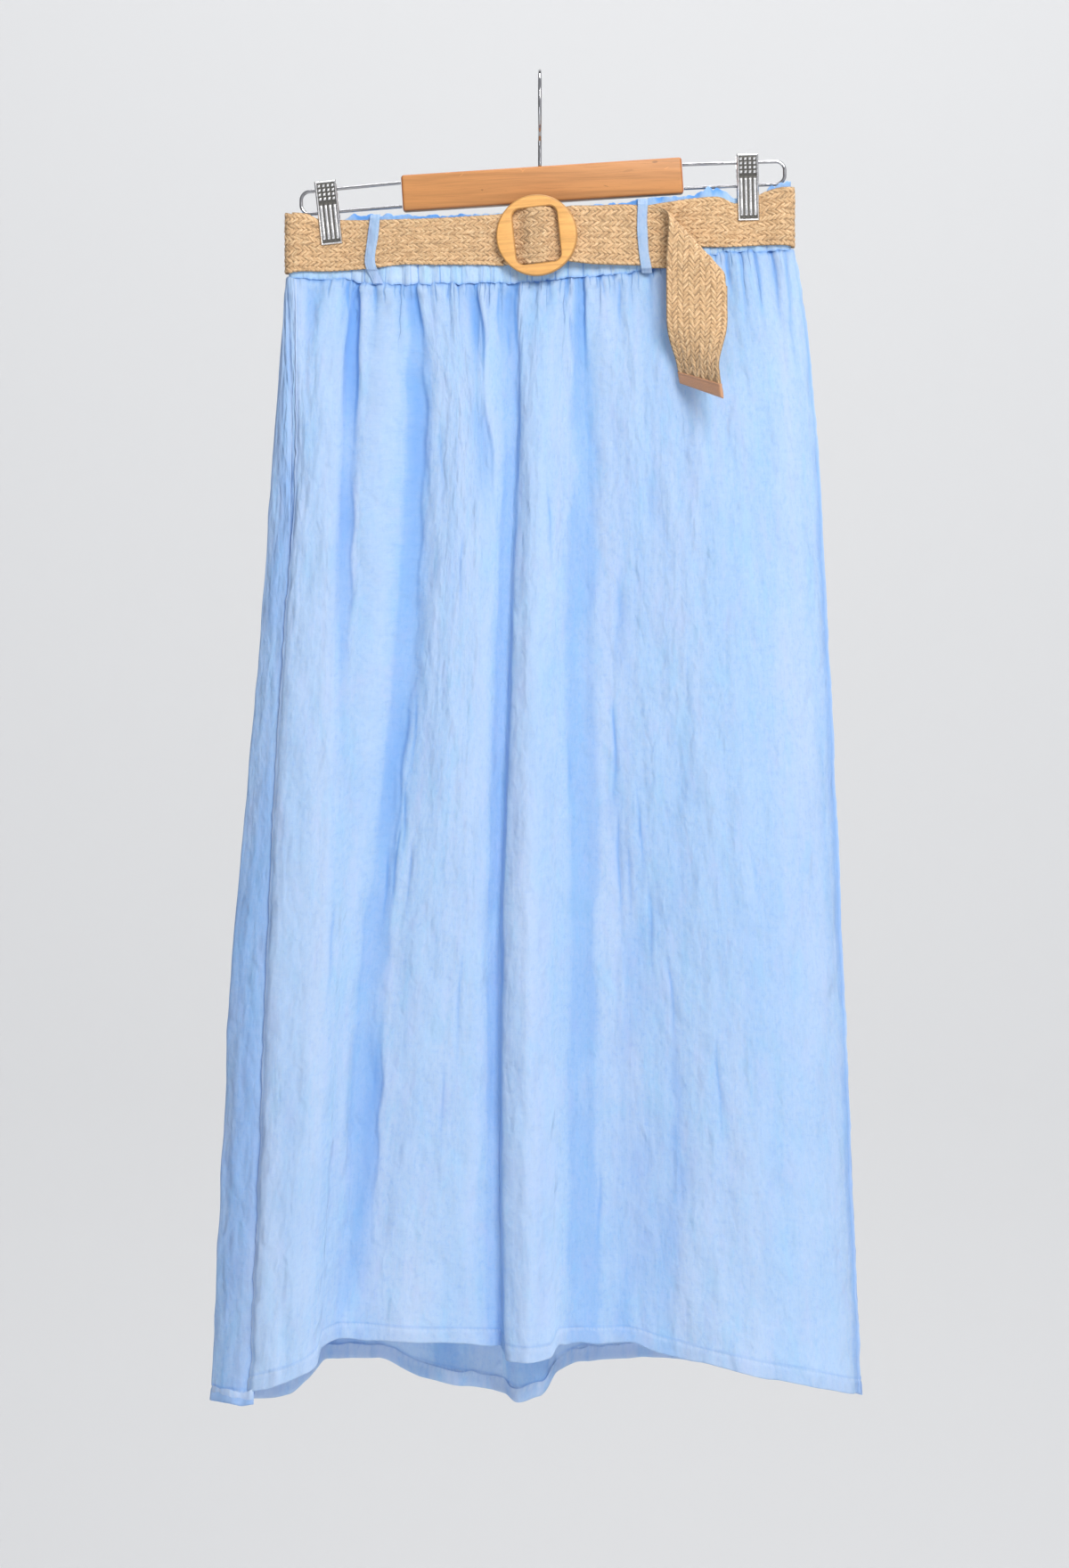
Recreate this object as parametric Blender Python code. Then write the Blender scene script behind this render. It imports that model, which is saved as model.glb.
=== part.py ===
"""Maxi skirt with a gathered elastic waist and a braided belt, held on a clip hanger.

The front is faced along +Y, with +X to the right and +Z up. The origin is the point inside the
top of the hook that rests on a rail. Sizes and tables are in millimetres; the meshes are in metres.
"""

import math

import bmesh
import bpy
import numpy as np
from mathutils import Matrix, Vector

MM = 0.001
GAP = 0.3  # between pieces that touch
SEAM = 0.25  # each side of a seam line between pieces that are sewn edge to edge

# Cloth and strap
LINEN_WALL = 1.2
CASING_WALL = 2.0  # two layers of linen round the elastic
BELT_WALL = 2.4
LOOP_WALL = 1.5
TIP_WALL = 3.0
CASING_END = 184.0  # half the width of the flattened casing, at the middle of its wall
PANEL_END = 187.0  # the same on the gathered panels just below it

# Hanger
WIRE_RADIUS = 1.3
HOOK_RADIUS = 23.7  # of the curl, at the middle of the wire
HOOK_START = math.radians(25)  # from the bottom of the curl, towards the front
HOOK_STOP = math.radians(285)
STEM_BEND = -54.0
BLOCK_SIZE = (206.0, 12.0, 26.6)
BLOCK_CENTRE = (1.8, 0.0, -82.2)
BLOCK_TILT = math.radians(3.7)
BLOCK_EDGE = 2.2
FRAME_BEND = 6.5  # radius of the corners of the wire loops

# Clips
CLIP_WIDTH = 15.8
CLIP_PLATE = 1.0
CLIP_RIB = 0.8
CLIP_JAW = 23.0  # length of the lower part, which lies flat on the belt
CLIP_LEAN = 2.4  # how far the top stands out past the jaw
CLIP_FACE = 5.45  # from the middle of the waist to a plate's inner face, at the jaw
SPRING_HEIGHT = 3.8  # half height of the coil, which reaches from plate to plate
SPRING_LENGTH = 11.0

# Buckle
BUCKLE_RADIUS = 29.7
BUCKLE_WALL = 5.0
BUCKLE_HOLE = (16.5, 20.3, 6.0)  # half width, half height, corner radius
BUCKLE_EDGE = 0.9
BUCKLE_CENTRE = (-2.0, -15.9, -121.4)  # middle of its back face
BUCKLE_ROLL = math.radians(6)
BUCKLE_YAW = math.radians(6)
BAR_HALF = 2.5
BAR_DEPTH = 2.5

# Free end of the belt
FOLD_TOP = (79.5, -100.5)  # x and z where the fold line leaves the top edge
FOLD_ANGLE = math.radians(47)
FOLD_RADIUS = 7.0
STRAP_WIDTH = 44.3
FALL_TWIST = math.radians(49)
FALL_ROLL = math.radians(14)
TIP_LENGTH = 10.5
FREE_LENGTH = 229.5  # x that the tip would reach if the strap lay straight

# Half depth of the flattened waist, at the middle of the casing's wall: x, half depth.
# It is pinched flat where the clips hold it.
WAIST_DEPTH = (
    (-184.0, 0.15),
    (-183.3, 1.6),
    (-181.5, 2.7),
    (-178.0, 3.3),
    (-172.0, 3.0),
    (-163.5, 1.15),
    (-143.5, 1.15),
    (-120.0, 4.4),
    (-90.0, 7.0),
    (-40.0, 8.4),
    (40.0, 8.4),
    (90.0, 7.0),
    (120.0, 4.4),
    (143.5, 1.15),
    (162.5, 1.15),
    (172.0, 3.0),
    (178.0, 3.3),
    (181.5, 2.7),
    (183.3, 1.6),
    (184.0, 0.15),
)

# Height of the seam between casing and panels: x, z.
WAIST_SEAM = (
    (-187.0, -151.0),
    (-150.0, -151.5),
    (-115.0, -156.0),
    (-40.0, -155.6),
    (30.0, -151.0),
    (75.0, -146.0),
    (118.0, -136.2),
    (140.0, -131.6),
    (187.0, -130.6),
)

# Height of the casing's top edge: x, z. It dips under each clip.
CASING_TOP = (
    (-184.0, -104.5),
    (-176.0, -103.9),
    (-168.0, -105.6),
    (-162.8, -108.5),
    (-144.0, -108.5),
    (-138.0, -105.2),
    (-100.0, -105.8),
    (-45.0, -105.3),
    (20.0, -101.5),
    (67.0, -95.5),
    (84.0, -92.4),
    (110.0, -90.6),
    (127.0, -86.2),
    (136.0, -87.5),
    (143.0, -92.5),
    (163.0, -91.5),
    (168.0, -85.2),
    (176.0, -82.9),
    (184.0, -80.6),
)

# One row for each gather of the front: x of its valley on the seam, its depth there, how far it runs.
FRONT_GATHERS = (
    (-184.6, 0.0, 20.0),
    (-181.5, 0.0, 20.0),
    (-176.0, 0.3, 30.0),
    (-160.1, 1.3, 40.0),
    (-141.0, 1.3, 60.0),
    (-133.3, 1.6, 190.0),
    (-119.6, 1.9, 70.0),
    (-102.6, 2.0, 75.0),
    (-90.9, 1.9, 110.0),
    (-80.4, 1.8, 70.0),
    (-66.7, 1.6, 60.0),
    (-59.5, 1.3, 55.0),
    (-45.8, 1.8, 190.0),
    (-37.3, 1.4, 70.0),
    (-28.1, 1.5, 60.0),
    (-15.7, 1.8, 120.0),
    (-2.6, 1.4, 45.0),
    (6.0, 1.3, 55.0),
    (19.6, 1.8, 75.0),
    (31.4, 1.9, 120.0),
    (43.1, 1.7, 60.0),
    (54.0, 1.3, 45.0),
    (66.0, 1.5, 70.0),
    (80.0, 1.5, 60.0),
    (93.0, 1.5, 60.0),
    (106.0, 1.5, 55.0),
    (120.3, 1.2, 60.0),
    (128.0, 1.0, 50.0),
    (136.6, 1.0, 70.0),
    (147.0, 1.1, 60.0),
    (156.9, 1.3, 75.0),
    (169.3, 1.1, 70.0),
    (179.1, 0.6, 60.0),
    (187.0, 0.0, 20.0),
)

# Levels of the fold tables, as shares of the drop from seam to hem: waist, hip, thigh, knee, hem.
LEVELS = (0.0, 0.12, 0.37, 0.68, 1.0)

# Front folds, left to right: gather number, x at hip, thigh, knee and hem, y at the same levels.
# The first rows turn the cloth under and out again, so that its left edge lies over the back panel.
FRONT_FOLDS = (
    (0.0, -181.4, -186.0, -197.7, -208.0, -3.0, -4.0, -5.0, -6.0),
    (0.5, -180.0, -181.0, -191.0, -200.0, -4.8, -6.2, -8.0, -9.5),
    (1.0, -178.8, -184.0, -194.5, -204.0, -6.6, -8.8, -11.6, -14.2),
    (1.5, -177.6, -188.9, -200.7, -211.0, -8.4, -11.8, -15.8, -19.8),
    (2.0, -176.0, -187.0, -198.6, -208.6, -10.2, -15.3, -20.6, -26.0),
    (2.5, -172.0, -180.5, -191.0, -200.0, -12.0, -18.5, -24.6, -30.5),
    (3.5, -160.0, -163.0, -171.0, -183.0, -14.5, -21.0, -27.5, -33.5),
    (4.5, -147.0, -152.0, -158.0, -170.0, -13.5, -20.5, -26.5, -31.5),
    (5.0, -139.5, -145.5, -152.5, -165.5, -9.0, -17.5, -24.0, -28.0),
    (6.5, -115.0, -125.0, -145.5, -161.5, -13.5, -15.5, -18.5, -20.5),
    (8.0, -84.0, -100.6, -137.9, -158.2, -7.5, -9.0, -10.5, -12.0),
    (9.0, -72.0, -86.0, -122.0, -146.0, -12.5, -13.5, -13.5, -12.5),
    (11.0, -55.0, -64.0, -84.0, -100.0, -15.5, -19.0, -20.0, -18.5),
    (13.0, -38.0, -42.0, -50.0, -56.0, -14.0, -17.0, -18.5, -17.5),
    (15.0, -18.0, -24.5, -29.8, -27.8, -7.0, -8.0, -9.0, -11.0),
    (15.5, -13.5, -19.8, -26.3, -25.8, -12.5, -16.0, -20.5, -24.0),
    (16.5, -1.0, -5.0, -9.0, -9.0, -17.5, -23.5, -29.0, -34.5),
    (18.0, 13.0, 9.0, 7.0, 8.0, -13.5, -17.5, -22.0, -26.0),
    (19.0, 30.5, 26.0, 21.0, 20.0, -8.5, -11.0, -13.0, -14.5),
    (21.0, 55.0, 56.0, 56.0, 56.0, -12.0, -13.0, -13.0, -12.0),
    (23.0, 83.0, 87.0, 92.0, 92.0, -14.5, -17.0, -18.0, -18.0),
    (25.0, 111.0, 117.0, 125.0, 128.0, -16.0, -22.0, -26.5, -30.0),
    (27.0, 136.0, 144.0, 153.0, 160.0, -15.5, -22.5, -28.5, -33.0),
    (29.0, 158.0, 168.0, 178.0, 188.0, -13.0, -19.0, -25.0, -29.0),
    (31.0, 181.0, 192.0, 203.0, 213.0, -9.0, -13.0, -17.0, -20.0),
    (32.0, 192.0, 203.5, 214.5, 225.5, -5.5, -8.0, -10.5, -12.5),
    (33.0, 200.0, 212.4, 224.2, 235.2, -0.15, -0.15, -0.15, -0.15),
)

# Height of the front hem: x, z.
FRONT_HEM = (
    (-214.0, -965.0),
    (-204.0, -961.5),
    (-188.0, -957.5),
    (-174.0, -952.0),
    (-164.0, -944.0),
    (-159.0, -931.0),
    (-146.0, -926.5),
    (-100.0, -929.0),
    (-29.0, -931.5),
    (-26.0, -940.0),
    (-9.0, -942.5),
    (7.0, -940.0),
    (14.0, -929.5),
    (60.0, -929.5),
    (89.0, -936.5),
    (128.0, -945.0),
    (177.0, -955.5),
    (212.0, -963.0),
    (236.0, -969.5),
)

# Back folds, left to right: gather number, x at waist, hip, thigh, knee and hem, share of the waist's
# depth, y at hip, thigh, knee and hem. The first rows come round the left side to the front.
BACK_FOLDS = (
    (0.0, -184.9, -181.7, -186.3, -198.0, -208.3, -1.0, -3.0, -4.0, -5.0, -6.0),
    (0.5, -185.7, -186.5, -194.5, -210.0, -222.0, -0.8, -2.8, -3.4, -4.2, -5.0),
    (1.0, -186.1, -191.3, -203.5, -223.0, -235.5, -0.4, -1.2, -1.4, -1.6, -2.0),
    (1.5, -186.3, -194.3, -208.7, -229.6, -242.0, 0.0, 1.4, 2.2, 3.0, 3.6),
    (2.0, -184.6, -190.5, -203.5, -224.0, -236.0, 0.8, 5.2, 7.5, 10.5, 12.5),
    (2.5, -178.0, -179.5, -188.5, -206.0, -217.0, 1.0, 9.0, 13.0, 19.0, 23.0),
    (4.0, -150.0, -155.0, -163.0, -175.0, -184.0, 1.0, 12.0, 18.0, 26.0, 31.5),
    (5.5, -120.0, -123.0, -129.0, -138.0, -145.0, 1.0, 10.0, 14.0, 18.5, 21.0),
    (7.0, -90.0, -92.0, -95.0, -99.0, -103.0, 1.0, 13.5, 20.0, 27.5, 32.0),
    (8.5, -60.0, -61.0, -62.5, -64.0, -65.0, 1.0, 11.5, 16.0, 21.0, 24.0),
    (10.0, -36.0, -36.0, -36.0, -36.0, -36.0, 1.0, 13.5, 19.0, 25.5, 29.5),
    (10.5, -26.5, -26.0, -26.0, -26.5, -27.0, 1.0, 11.5, 15.0, 18.5, 20.0),
    (11.0, -15.0, -15.0, -15.0, -15.0, -15.0, 1.0, 8.8, 10.0, 10.5, 10.0),
    (11.5, -1.0, -1.0, -1.0, -1.0, -0.5, 1.0, 9.6, 12.0, 13.5, 14.0),
    (12.0, 15.0, 15.0, 15.0, 15.0, 15.0, 1.0, 12.5, 17.5, 22.5, 26.0),
    (13.5, 45.0, 46.0, 48.0, 50.0, 52.0, 1.0, 14.5, 21.5, 29.0, 34.0),
    (15.0, 78.0, 80.0, 84.0, 88.0, 92.0, 1.0, 11.5, 16.0, 20.5, 23.0),
    (16.5, 110.0, 114.0, 121.0, 128.0, 134.0, 1.0, 14.0, 20.5, 28.0, 33.0),
    (18.5, 145.0, 151.0, 161.0, 170.0, 179.0, 1.0, 10.5, 14.5, 19.0, 22.0),
    (20.0, 167.0, 176.0, 188.0, 198.0, 208.0, 1.0, 9.5, 13.5, 17.5, 20.5),
    (21.0, 180.0, 191.5, 204.0, 215.0, 226.0, 1.0, 5.0, 7.0, 9.0, 11.0),
    (22.0, 187.0, 200.0, 212.4, 224.2, 235.2, 1.0, 0.15, 0.15, 0.15, 0.15),
)
BACK_GATHER_DEPTH = 1.7
BACK_CASING = np.array((-187, -183, -178, *range(-170, 171, 17), 178, 183, 187), float)
BACK_GATHER_RUN = 75.0

# Height of the back hem, which hangs lower than the front one: x, z.
BACK_HEM = (
    (-243.0, -974.0),
    (-211.0, -975.5),
    (-186.0, -973.0),
    (-172.0, -962.0),
    (-157.0, -946.0),
    (-121.0, -946.5),
    (-94.0, -958.0),
    (-46.0, -968.0),
    (-28.0, -972.0),
    (-16.0, -976.0),
    (0.0, -973.0),
    (14.0, -955.0),
    (36.0, -948.0),
    (89.0, -945.5),
    (140.0, -953.0),
    (190.0, -964.0),
    (236.0, -969.5),
)

# Belt, from the buckle bar to the right end at the front: x, top edge, bottom edge.
BELT_RIGHT = (
    (-5.0, -106.8, -139.8),
    (20.0, -105.5, -138.5),
    (60.0, -101.5, -135.5),
    (92.8, -96.1, -129.1),
    (112.0, -93.1, -128.7),
    (130.0, -91.5, -128.6),
    (143.8, -96.3, -128.0),
    (153.0, -95.4, -127.5),
    (164.0, -88.2, -127.0),
    (179.0, -84.4, -127.0),
    (187.0, -84.1, -128.5),
)

# Belt across the back: x, top edge, bottom edge.
BELT_BACK = (
    (-187.0, -102.6, -147.4),
    (-165.0, -108.6, -148.0),
    (-120.0, -109.8, -150.5),
    (0.0, -105.5, -147.0),
    (110.0, -94.8, -133.0),
    (150.0, -95.6, -127.6),
    (187.0, -84.1, -128.5),
)

# Belt at the front, from the left end to the buckle: x, top edge, bottom edge.
BELT_LEFT = (
    (-187.0, -102.6, -147.4),
    (-171.0, -103.9, -146.2),
    (-162.0, -107.6, -146.2),
    (-126.0, -108.7, -144.4),
    (-96.0, -108.4, -141.6),
    (-71.0, -107.5, -142.1),
    (-46.0, -106.2, -142.1),
    (-26.0, -104.7, -143.1),
)

# Free end of the belt, from the buckle's left rim to the fold: x, top edge, bottom edge.
BELT_FREE = (
    (-26.0, -104.7, -143.1),
    (-17.0, -105.3, -140.6),
    (-2.0, -103.7, -139.1),
    (13.0, -102.2, -137.4),
    (24.0, -99.5, -140.6),
    (40.0, -99.3, -142.2),
    (61.0, -98.2, -142.6),
    (73.0, -98.8, -142.8),
    (79.5, -100.5, -143.8),
)

# Belt loops: name, side (-1 front, 1 back), layers of belt beneath, then the centre line from the
# casing's top edge to the seam as x at top, upper third, lower third and bottom, and the width.
BELT_LOOPS = (
    ("belt_loop_front_left", -1, 1, -120.3, -122.2, -124.4, -118.3, 7.6),
    ("belt_loop_front_right", -1, 2, 75.4, 74.7, 75.6, 78.4, 7.4),
    ("belt_loop_back_left", 1, 1, -104.0, -104.3, -104.2, -103.6, 7.6),
    ("belt_loop_back_right", 1, 1, 98.0, 98.4, 98.3, 98.0, 7.6),
)

# Clips: name, x and z of the top end, x and z of the bottom end.
CLIPS = (
    ("clip_left", -157.3, -80.1, -152.3, -126.5),
    ("clip_right", 151.8, -60.3, 153.1, -109.1),
)

# Wire loops: name, then x and z of the upper run at the block and at its far end, the same of the
# lower run, and the x of the closed end.
WIRE_LOOPS = (
    ("hanger_wire_left", -102.0, -80.6, -165.0, -86.7, -100.9, -97.9, -165.0, -103.2, -175.0),
    ("hanger_wire_right", 104.5, -67.3, 168.0, -65.2, 105.6, -84.7, 168.0, -81.9, 179.6),
)

# Finishes: linear colour, roughness, metallic.
FINISHES = {
    "linen": ((0.43, 0.62, 0.95), 0.85, 0.0),
    "jute": ((0.55, 0.36, 0.18), 0.9, 0.0),
    "tan_leather": ((0.50, 0.30, 0.19), 0.6, 0.0),
    "buckle_wood": ((0.62, 0.30, 0.08), 0.4, 0.0),
    "block_wood": ((0.64, 0.33, 0.12), 0.45, 0.0),
    "chrome": ((0.75, 0.76, 0.78), 0.15, 1.0),
}


def through(rows, column, at):
    """Smooth curve through a column of a table, against its first column, with no overshoot."""
    table = np.array(rows)
    return cubic(table[:, 0], table[:, column], at)


def cubic(xs, ys, at):
    """Monotone cubic curve through the points, read at the values given."""
    xs = np.asarray(xs, float)
    ys = np.asarray(ys, float)
    at = np.clip(np.asarray(at, float), xs[0], xs[-1])
    step = np.diff(xs)
    slope = np.diff(ys) / step
    tangent = np.zeros_like(ys)
    tangent[0] = slope[0]
    tangent[-1] = slope[-1]
    before, after = slope[:-1], slope[1:]
    same = before * after > 0
    total = np.where(same, before + after, 1.0)
    tangent[1:-1] = np.where(same, 2 * before * after / total, 0.0)
    k = np.clip(np.searchsorted(xs, at, side="right") - 1, 0, len(step) - 1)
    t = (at - xs[k]) / step[k]
    value = ys[k] * (1 + 2 * t) * (1 - t) ** 2
    value += tangent[k] * step[k] * t * (1 - t) ** 2
    value += ys[k + 1] * t**2 * (3 - 2 * t)
    value += tangent[k + 1] * step[k] * t**2 * (t - 1)
    return value


def ease(value, start, stop):
    """0 before start, 1 after stop, smooth between."""
    t = np.clip((np.asarray(value, float) - start) / (stop - start), 0.0, 1.0)
    return t * t * (3 - 2 * t)


def finish_material(key):
    """The Principled material of a finish, made once."""
    if key in bpy.data.materials:
        return bpy.data.materials[key]
    colour, roughness, metallic = FINISHES[key]
    material = bpy.data.materials.new(key)
    material.use_nodes = True
    shader = material.node_tree.nodes["Principled BSDF"]
    shader.inputs["Base Color"].default_value = (*colour, 1.0)
    shader.inputs["Roughness"].default_value = roughness
    shader.inputs["Metallic"].default_value = metallic
    return material


def add_object(name, bm, finish, sharp=None):
    """Turns a bmesh in millimetres into a named object with outward faces."""
    bmesh.ops.scale(bm, vec=(MM, MM, MM), verts=bm.verts)
    bmesh.ops.recalc_face_normals(bm, faces=bm.faces)
    mesh = bpy.data.meshes.new(name)
    bm.to_mesh(mesh)
    bm.free()
    mesh.shade_smooth()
    if sharp:
        mesh.set_sharp_from_angle(angle=math.radians(sharp))
    obj = bpy.data.objects.new(name, mesh)
    obj.data.materials.append(finish_material(finish))
    bpy.context.scene.collection.objects.link(obj)
    return obj


def wall_normals(mid, left=None, right=None, level=False):
    """Unit normals of a grid of points, with the first or last column's direction set if given.

    level keeps the normals of the first and last rows flat, so that the edges there are cut square.
    """
    normal = np.cross(np.gradient(mid, axis=1), np.gradient(mid, axis=0))
    if level:
        normal[[0, -1], :, 2] = 0.0
    normal /= np.linalg.norm(normal, axis=2, keepdims=True)
    for column, forced in ((0, left), (-1, right)):
        if forced is not None:
            sign = np.sign(normal[:, column] @ np.array(forced))
            normal[:, column] = np.outer(np.where(sign == 0, 1, sign), forced)
    return normal


def add_wall(name, mid, wall, finish, coarse_from=None, left=None, right=None, level=False, relief=0.0):
    """Closes a wall of even thickness round a grid of points, rows from top to bottom.

    From row coarse_from down it keeps every second column. relief raises the side that the normals
    point to.
    """
    normal = wall_normals(mid, left, right, level)
    sides = (mid + normal * (wall / 2 + np.asarray(relief)[..., None]), mid - normal * wall / 2)
    bm = bmesh.new()
    count = mid.shape[1]
    kept = []
    for row in range(mid.shape[0]):
        coarse = coarse_from is not None and row >= coarse_from
        kept.append(list(range(0, count, 2 if coarse else 1)))
    layers = []
    for side in sides:
        layer = [{c: bm.verts.new(side[r, c]) for c in columns} for r, columns in enumerate(kept)]
        layers.append(layer)
        for upper, lower, columns in zip(layer, layer[1:], kept[1:]):
            for a, b in zip(columns, columns[1:]):
                middle = (a + b) // 2
                if middle in upper and middle not in lower:
                    bm.faces.new((lower[a], upper[a], upper[middle]))
                    bm.faces.new((lower[a], upper[middle], lower[b]))
                    bm.faces.new((lower[b], upper[middle], upper[b]))
                else:
                    bm.faces.new((upper[a], lower[a], lower[b], upper[b]))
    outer, inner = layers
    for row in (0, -1):
        for a, b in zip(kept[row], kept[row][1:]):
            bm.faces.new((outer[row][a], outer[row][b], inner[row][b], inner[row][a]))
    for column in (0, count - 1):
        for r in range(len(kept) - 1):
            corners = (outer[r][column], outer[r + 1][column], inner[r + 1][column], inner[r][column])
            bm.faces.new(corners)
    return add_object(name, bm, finish)


def waist_depth(x):
    """Half depth of the flattened waist at x, at the middle of the casing's wall."""
    return through(WAIST_DEPTH, 1, x)


def belt_depth(x, layer=1):
    """Distance from the middle of the waist to the middle of a layer of the belt."""
    clear = CASING_WALL / 2 + 2 * GAP + BELT_WALL / 2
    return waist_depth(x) + clear + (layer - 1) * (BELT_WALL + 1.5 * GAP)


def panel_depth(x, pucker):
    """Half depth of the gathered panels on the seam, wide enough for their puckers."""
    clear = GAP / 2 + LINEN_WALL / 2 + 0.1 + pucker
    return np.maximum(waist_depth(x * CASING_END / PANEL_END), clear * np.minimum(1, pucker / 0.5))


def panel_grid(gathers, levels_x, levels_y, depth, run, side, hem, rows):
    """Points of a skirt panel: gather by gather across, row by row down from the seam."""
    seam_z = through(WAIST_SEAM, 1, levels_x[0]) - SEAM
    hem_z = through(hem, 1, levels_x[-1])
    grid = np.zeros((len(rows), len(gathers), 3))
    for i, share in enumerate(rows):
        for c in range(len(gathers)):
            grid[i, c, 0] = cubic(LEVELS, levels_x[:, c], share)
            grid[i, c, 1] = cubic(LEVELS, levels_y[:, c], share)
        drop = share * (seam_z - hem_z)
        fade = np.clip(1 - drop / run, 0, 1) ** 1.5
        grid[i, :, 1] -= side * depth * np.cos(2 * math.pi * gathers) * fade
        grid[i, :, 2] = seam_z - drop
    return grid


def add_front_panel():
    """Front panel: 33 gathers, the side fold at the left, the sharp fold right of the middle.

    Returns the points of its left edge.
    """
    folds = np.array(FRONT_FOLDS)
    puckers = np.array(FRONT_GATHERS)
    number = np.arange(len(puckers))
    gathers = np.arange(0, number[-1] + 0.01, 0.25)
    waist_x = cubic(number, puckers[:, 0], gathers)
    levels_x = np.array([waist_x] + [cubic(folds[:, 0], folds[:, k], gathers) for k in range(1, 5)])
    depth = np.interp(gathers, number, puckers[:, 1])
    run = np.interp(gathers, number, puckers[:, 2])
    levels_y = [-panel_depth(waist_x, depth)]
    levels_y += [cubic(folds[:, 0], folds[:, k], gathers) for k in range(5, 9)]
    rows = (0.0, 0.016, 0.038, 0.068, 0.11, 0.17, 0.25, 0.34, 0.44, 0.55, 0.67, 0.79, 0.9, 1.0)
    grid = panel_grid(gathers, levels_x, np.array(levels_y), depth, run, -1, FRONT_HEM, rows)
    left, right = (0.0, 1.0, 0.0), (1.0, 0.0, 0.0)
    add_wall("skirt_front", grid, LINEN_WALL, "linen", 5, left, right, level=True)
    return grid[:, 0]


def add_back_panel(front_edge):
    """Back panel: it comes round the left side to meet the front's edge, and hangs lower behind."""
    folds = np.array(BACK_FOLDS)
    gathers = np.arange(0, folds[-1, 0] + 0.01, 0.25)
    levels_x = np.array([cubic(folds[:, 0], folds[:, k], gathers) for k in range(1, 6)])
    ends = ease(gathers, 2.0, 3.5) * ease(-gathers, -21.8, -20.5)
    depth = BACK_GATHER_DEPTH * ends * (0.8 + 0.2 * np.sin(2.4 * gathers))
    run = BACK_GATHER_RUN * (1 + 0.35 * np.sin(1.7 * gathers + 1.0))
    share = cubic(folds[:, 0], folds[:, 6], gathers)
    levels_y = [share * panel_depth(levels_x[0], depth)]
    levels_y += [cubic(folds[:, 0], folds[:, k], gathers) for k in range(7, 11)]
    rows = (0.0, 0.02, 0.045, 0.08, 0.125, 0.19, 0.27, 0.37, 0.48, 0.59, 0.70, 0.81, 0.91, 1.0)
    grid = panel_grid(gathers, levels_x, np.array(levels_y), depth, run, 1, BACK_HEM, rows)
    height = grid[:, 0, 2]
    for axis, shift in ((0, 2.2 * SEAM), (1, 0.0)):
        grid[:, 0, axis] = np.interp(-height, -front_edge[:, 2], front_edge[:, axis]) - shift
    left, right = (0.0, 1.0, 0.0), (1.0, 0.0, 0.0)
    add_wall("skirt_back", grid, LINEN_WALL, "linen", 4, left, right, level=True)


def add_casing(name, side, gathers, waist_x, depth):
    """Half of the elastic casing: ruffled along its top, puckered where it meets the panel."""
    x = waist_x * CASING_END / abs(waist_x).max()
    top = through(CASING_TOP, 1, x)
    seam = through(WAIST_SEAM, 1, x) + SEAM
    belt_top = np.where(x < -26, through(BELT_LEFT, 1, x), through(BELT_RIGHT, 1, x))
    belt_bottom = np.where(x < -26, through(BELT_LEFT, 2, x), through(BELT_RIGHT, 2, x))
    frill = ease(x, -140.0, -120.0) * ease(-x, -132.0, -115.0) * ease(top - belt_top, 1.5, 4.0)
    strip = ease(x, -140.0, -120.0) * ease(belt_bottom - seam, 4.0, 10.0)
    heights = (top, top - 1.8, seam + 3.0, seam)
    swing = (0.8 * frill, 0.0 * frill, 0.1 * strip, 0.55 * depth * strip)
    grid = np.zeros((len(heights), len(x), 3))
    for i, (z, reach) in enumerate(zip(heights, swing)):
        grid[i, :, 0] = x
        grid[i, :, 1] = side * (waist_depth(x) - reach * np.cos(2 * math.pi * gathers))
        grid[i, :, 2] = z
    end = (1.0, 0.0, 0.0)
    add_wall(name, grid, CASING_WALL, "linen", left=end, right=end, level=True)


def casing_columns(number, x):
    """Gather positions for a casing: two a gather, four where the clips pinch it."""
    fine = np.arange(0, number[-1] + 0.01, 0.25)
    pinched = abs(np.interp(fine, number, x)) > 136
    return fine[pinched | (np.arange(len(fine)) % 2 == 0)]


def add_casings():
    """Front and back halves of the casing."""
    puckers = np.array(FRONT_GATHERS)
    number = np.arange(len(puckers))
    x = puckers[:, 0].copy()
    x[0] = -PANEL_END
    gathers = casing_columns(number, x)
    depth = np.interp(gathers, number, puckers[:, 1])
    add_casing("casing_front", -1, gathers, cubic(number, x, gathers), depth)
    number = np.arange(len(BACK_CASING))
    gathers = casing_columns(number, BACK_CASING)
    add_casing("casing_back", 1, gathers, cubic(number, BACK_CASING, gathers), 0.0 * gathers)


def buckle_plane(x):
    """y of the buckle's back face at x."""
    return BUCKLE_CENTRE[1] - (x - BUCKLE_CENTRE[0]) * math.tan(BUCKLE_YAW)


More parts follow.
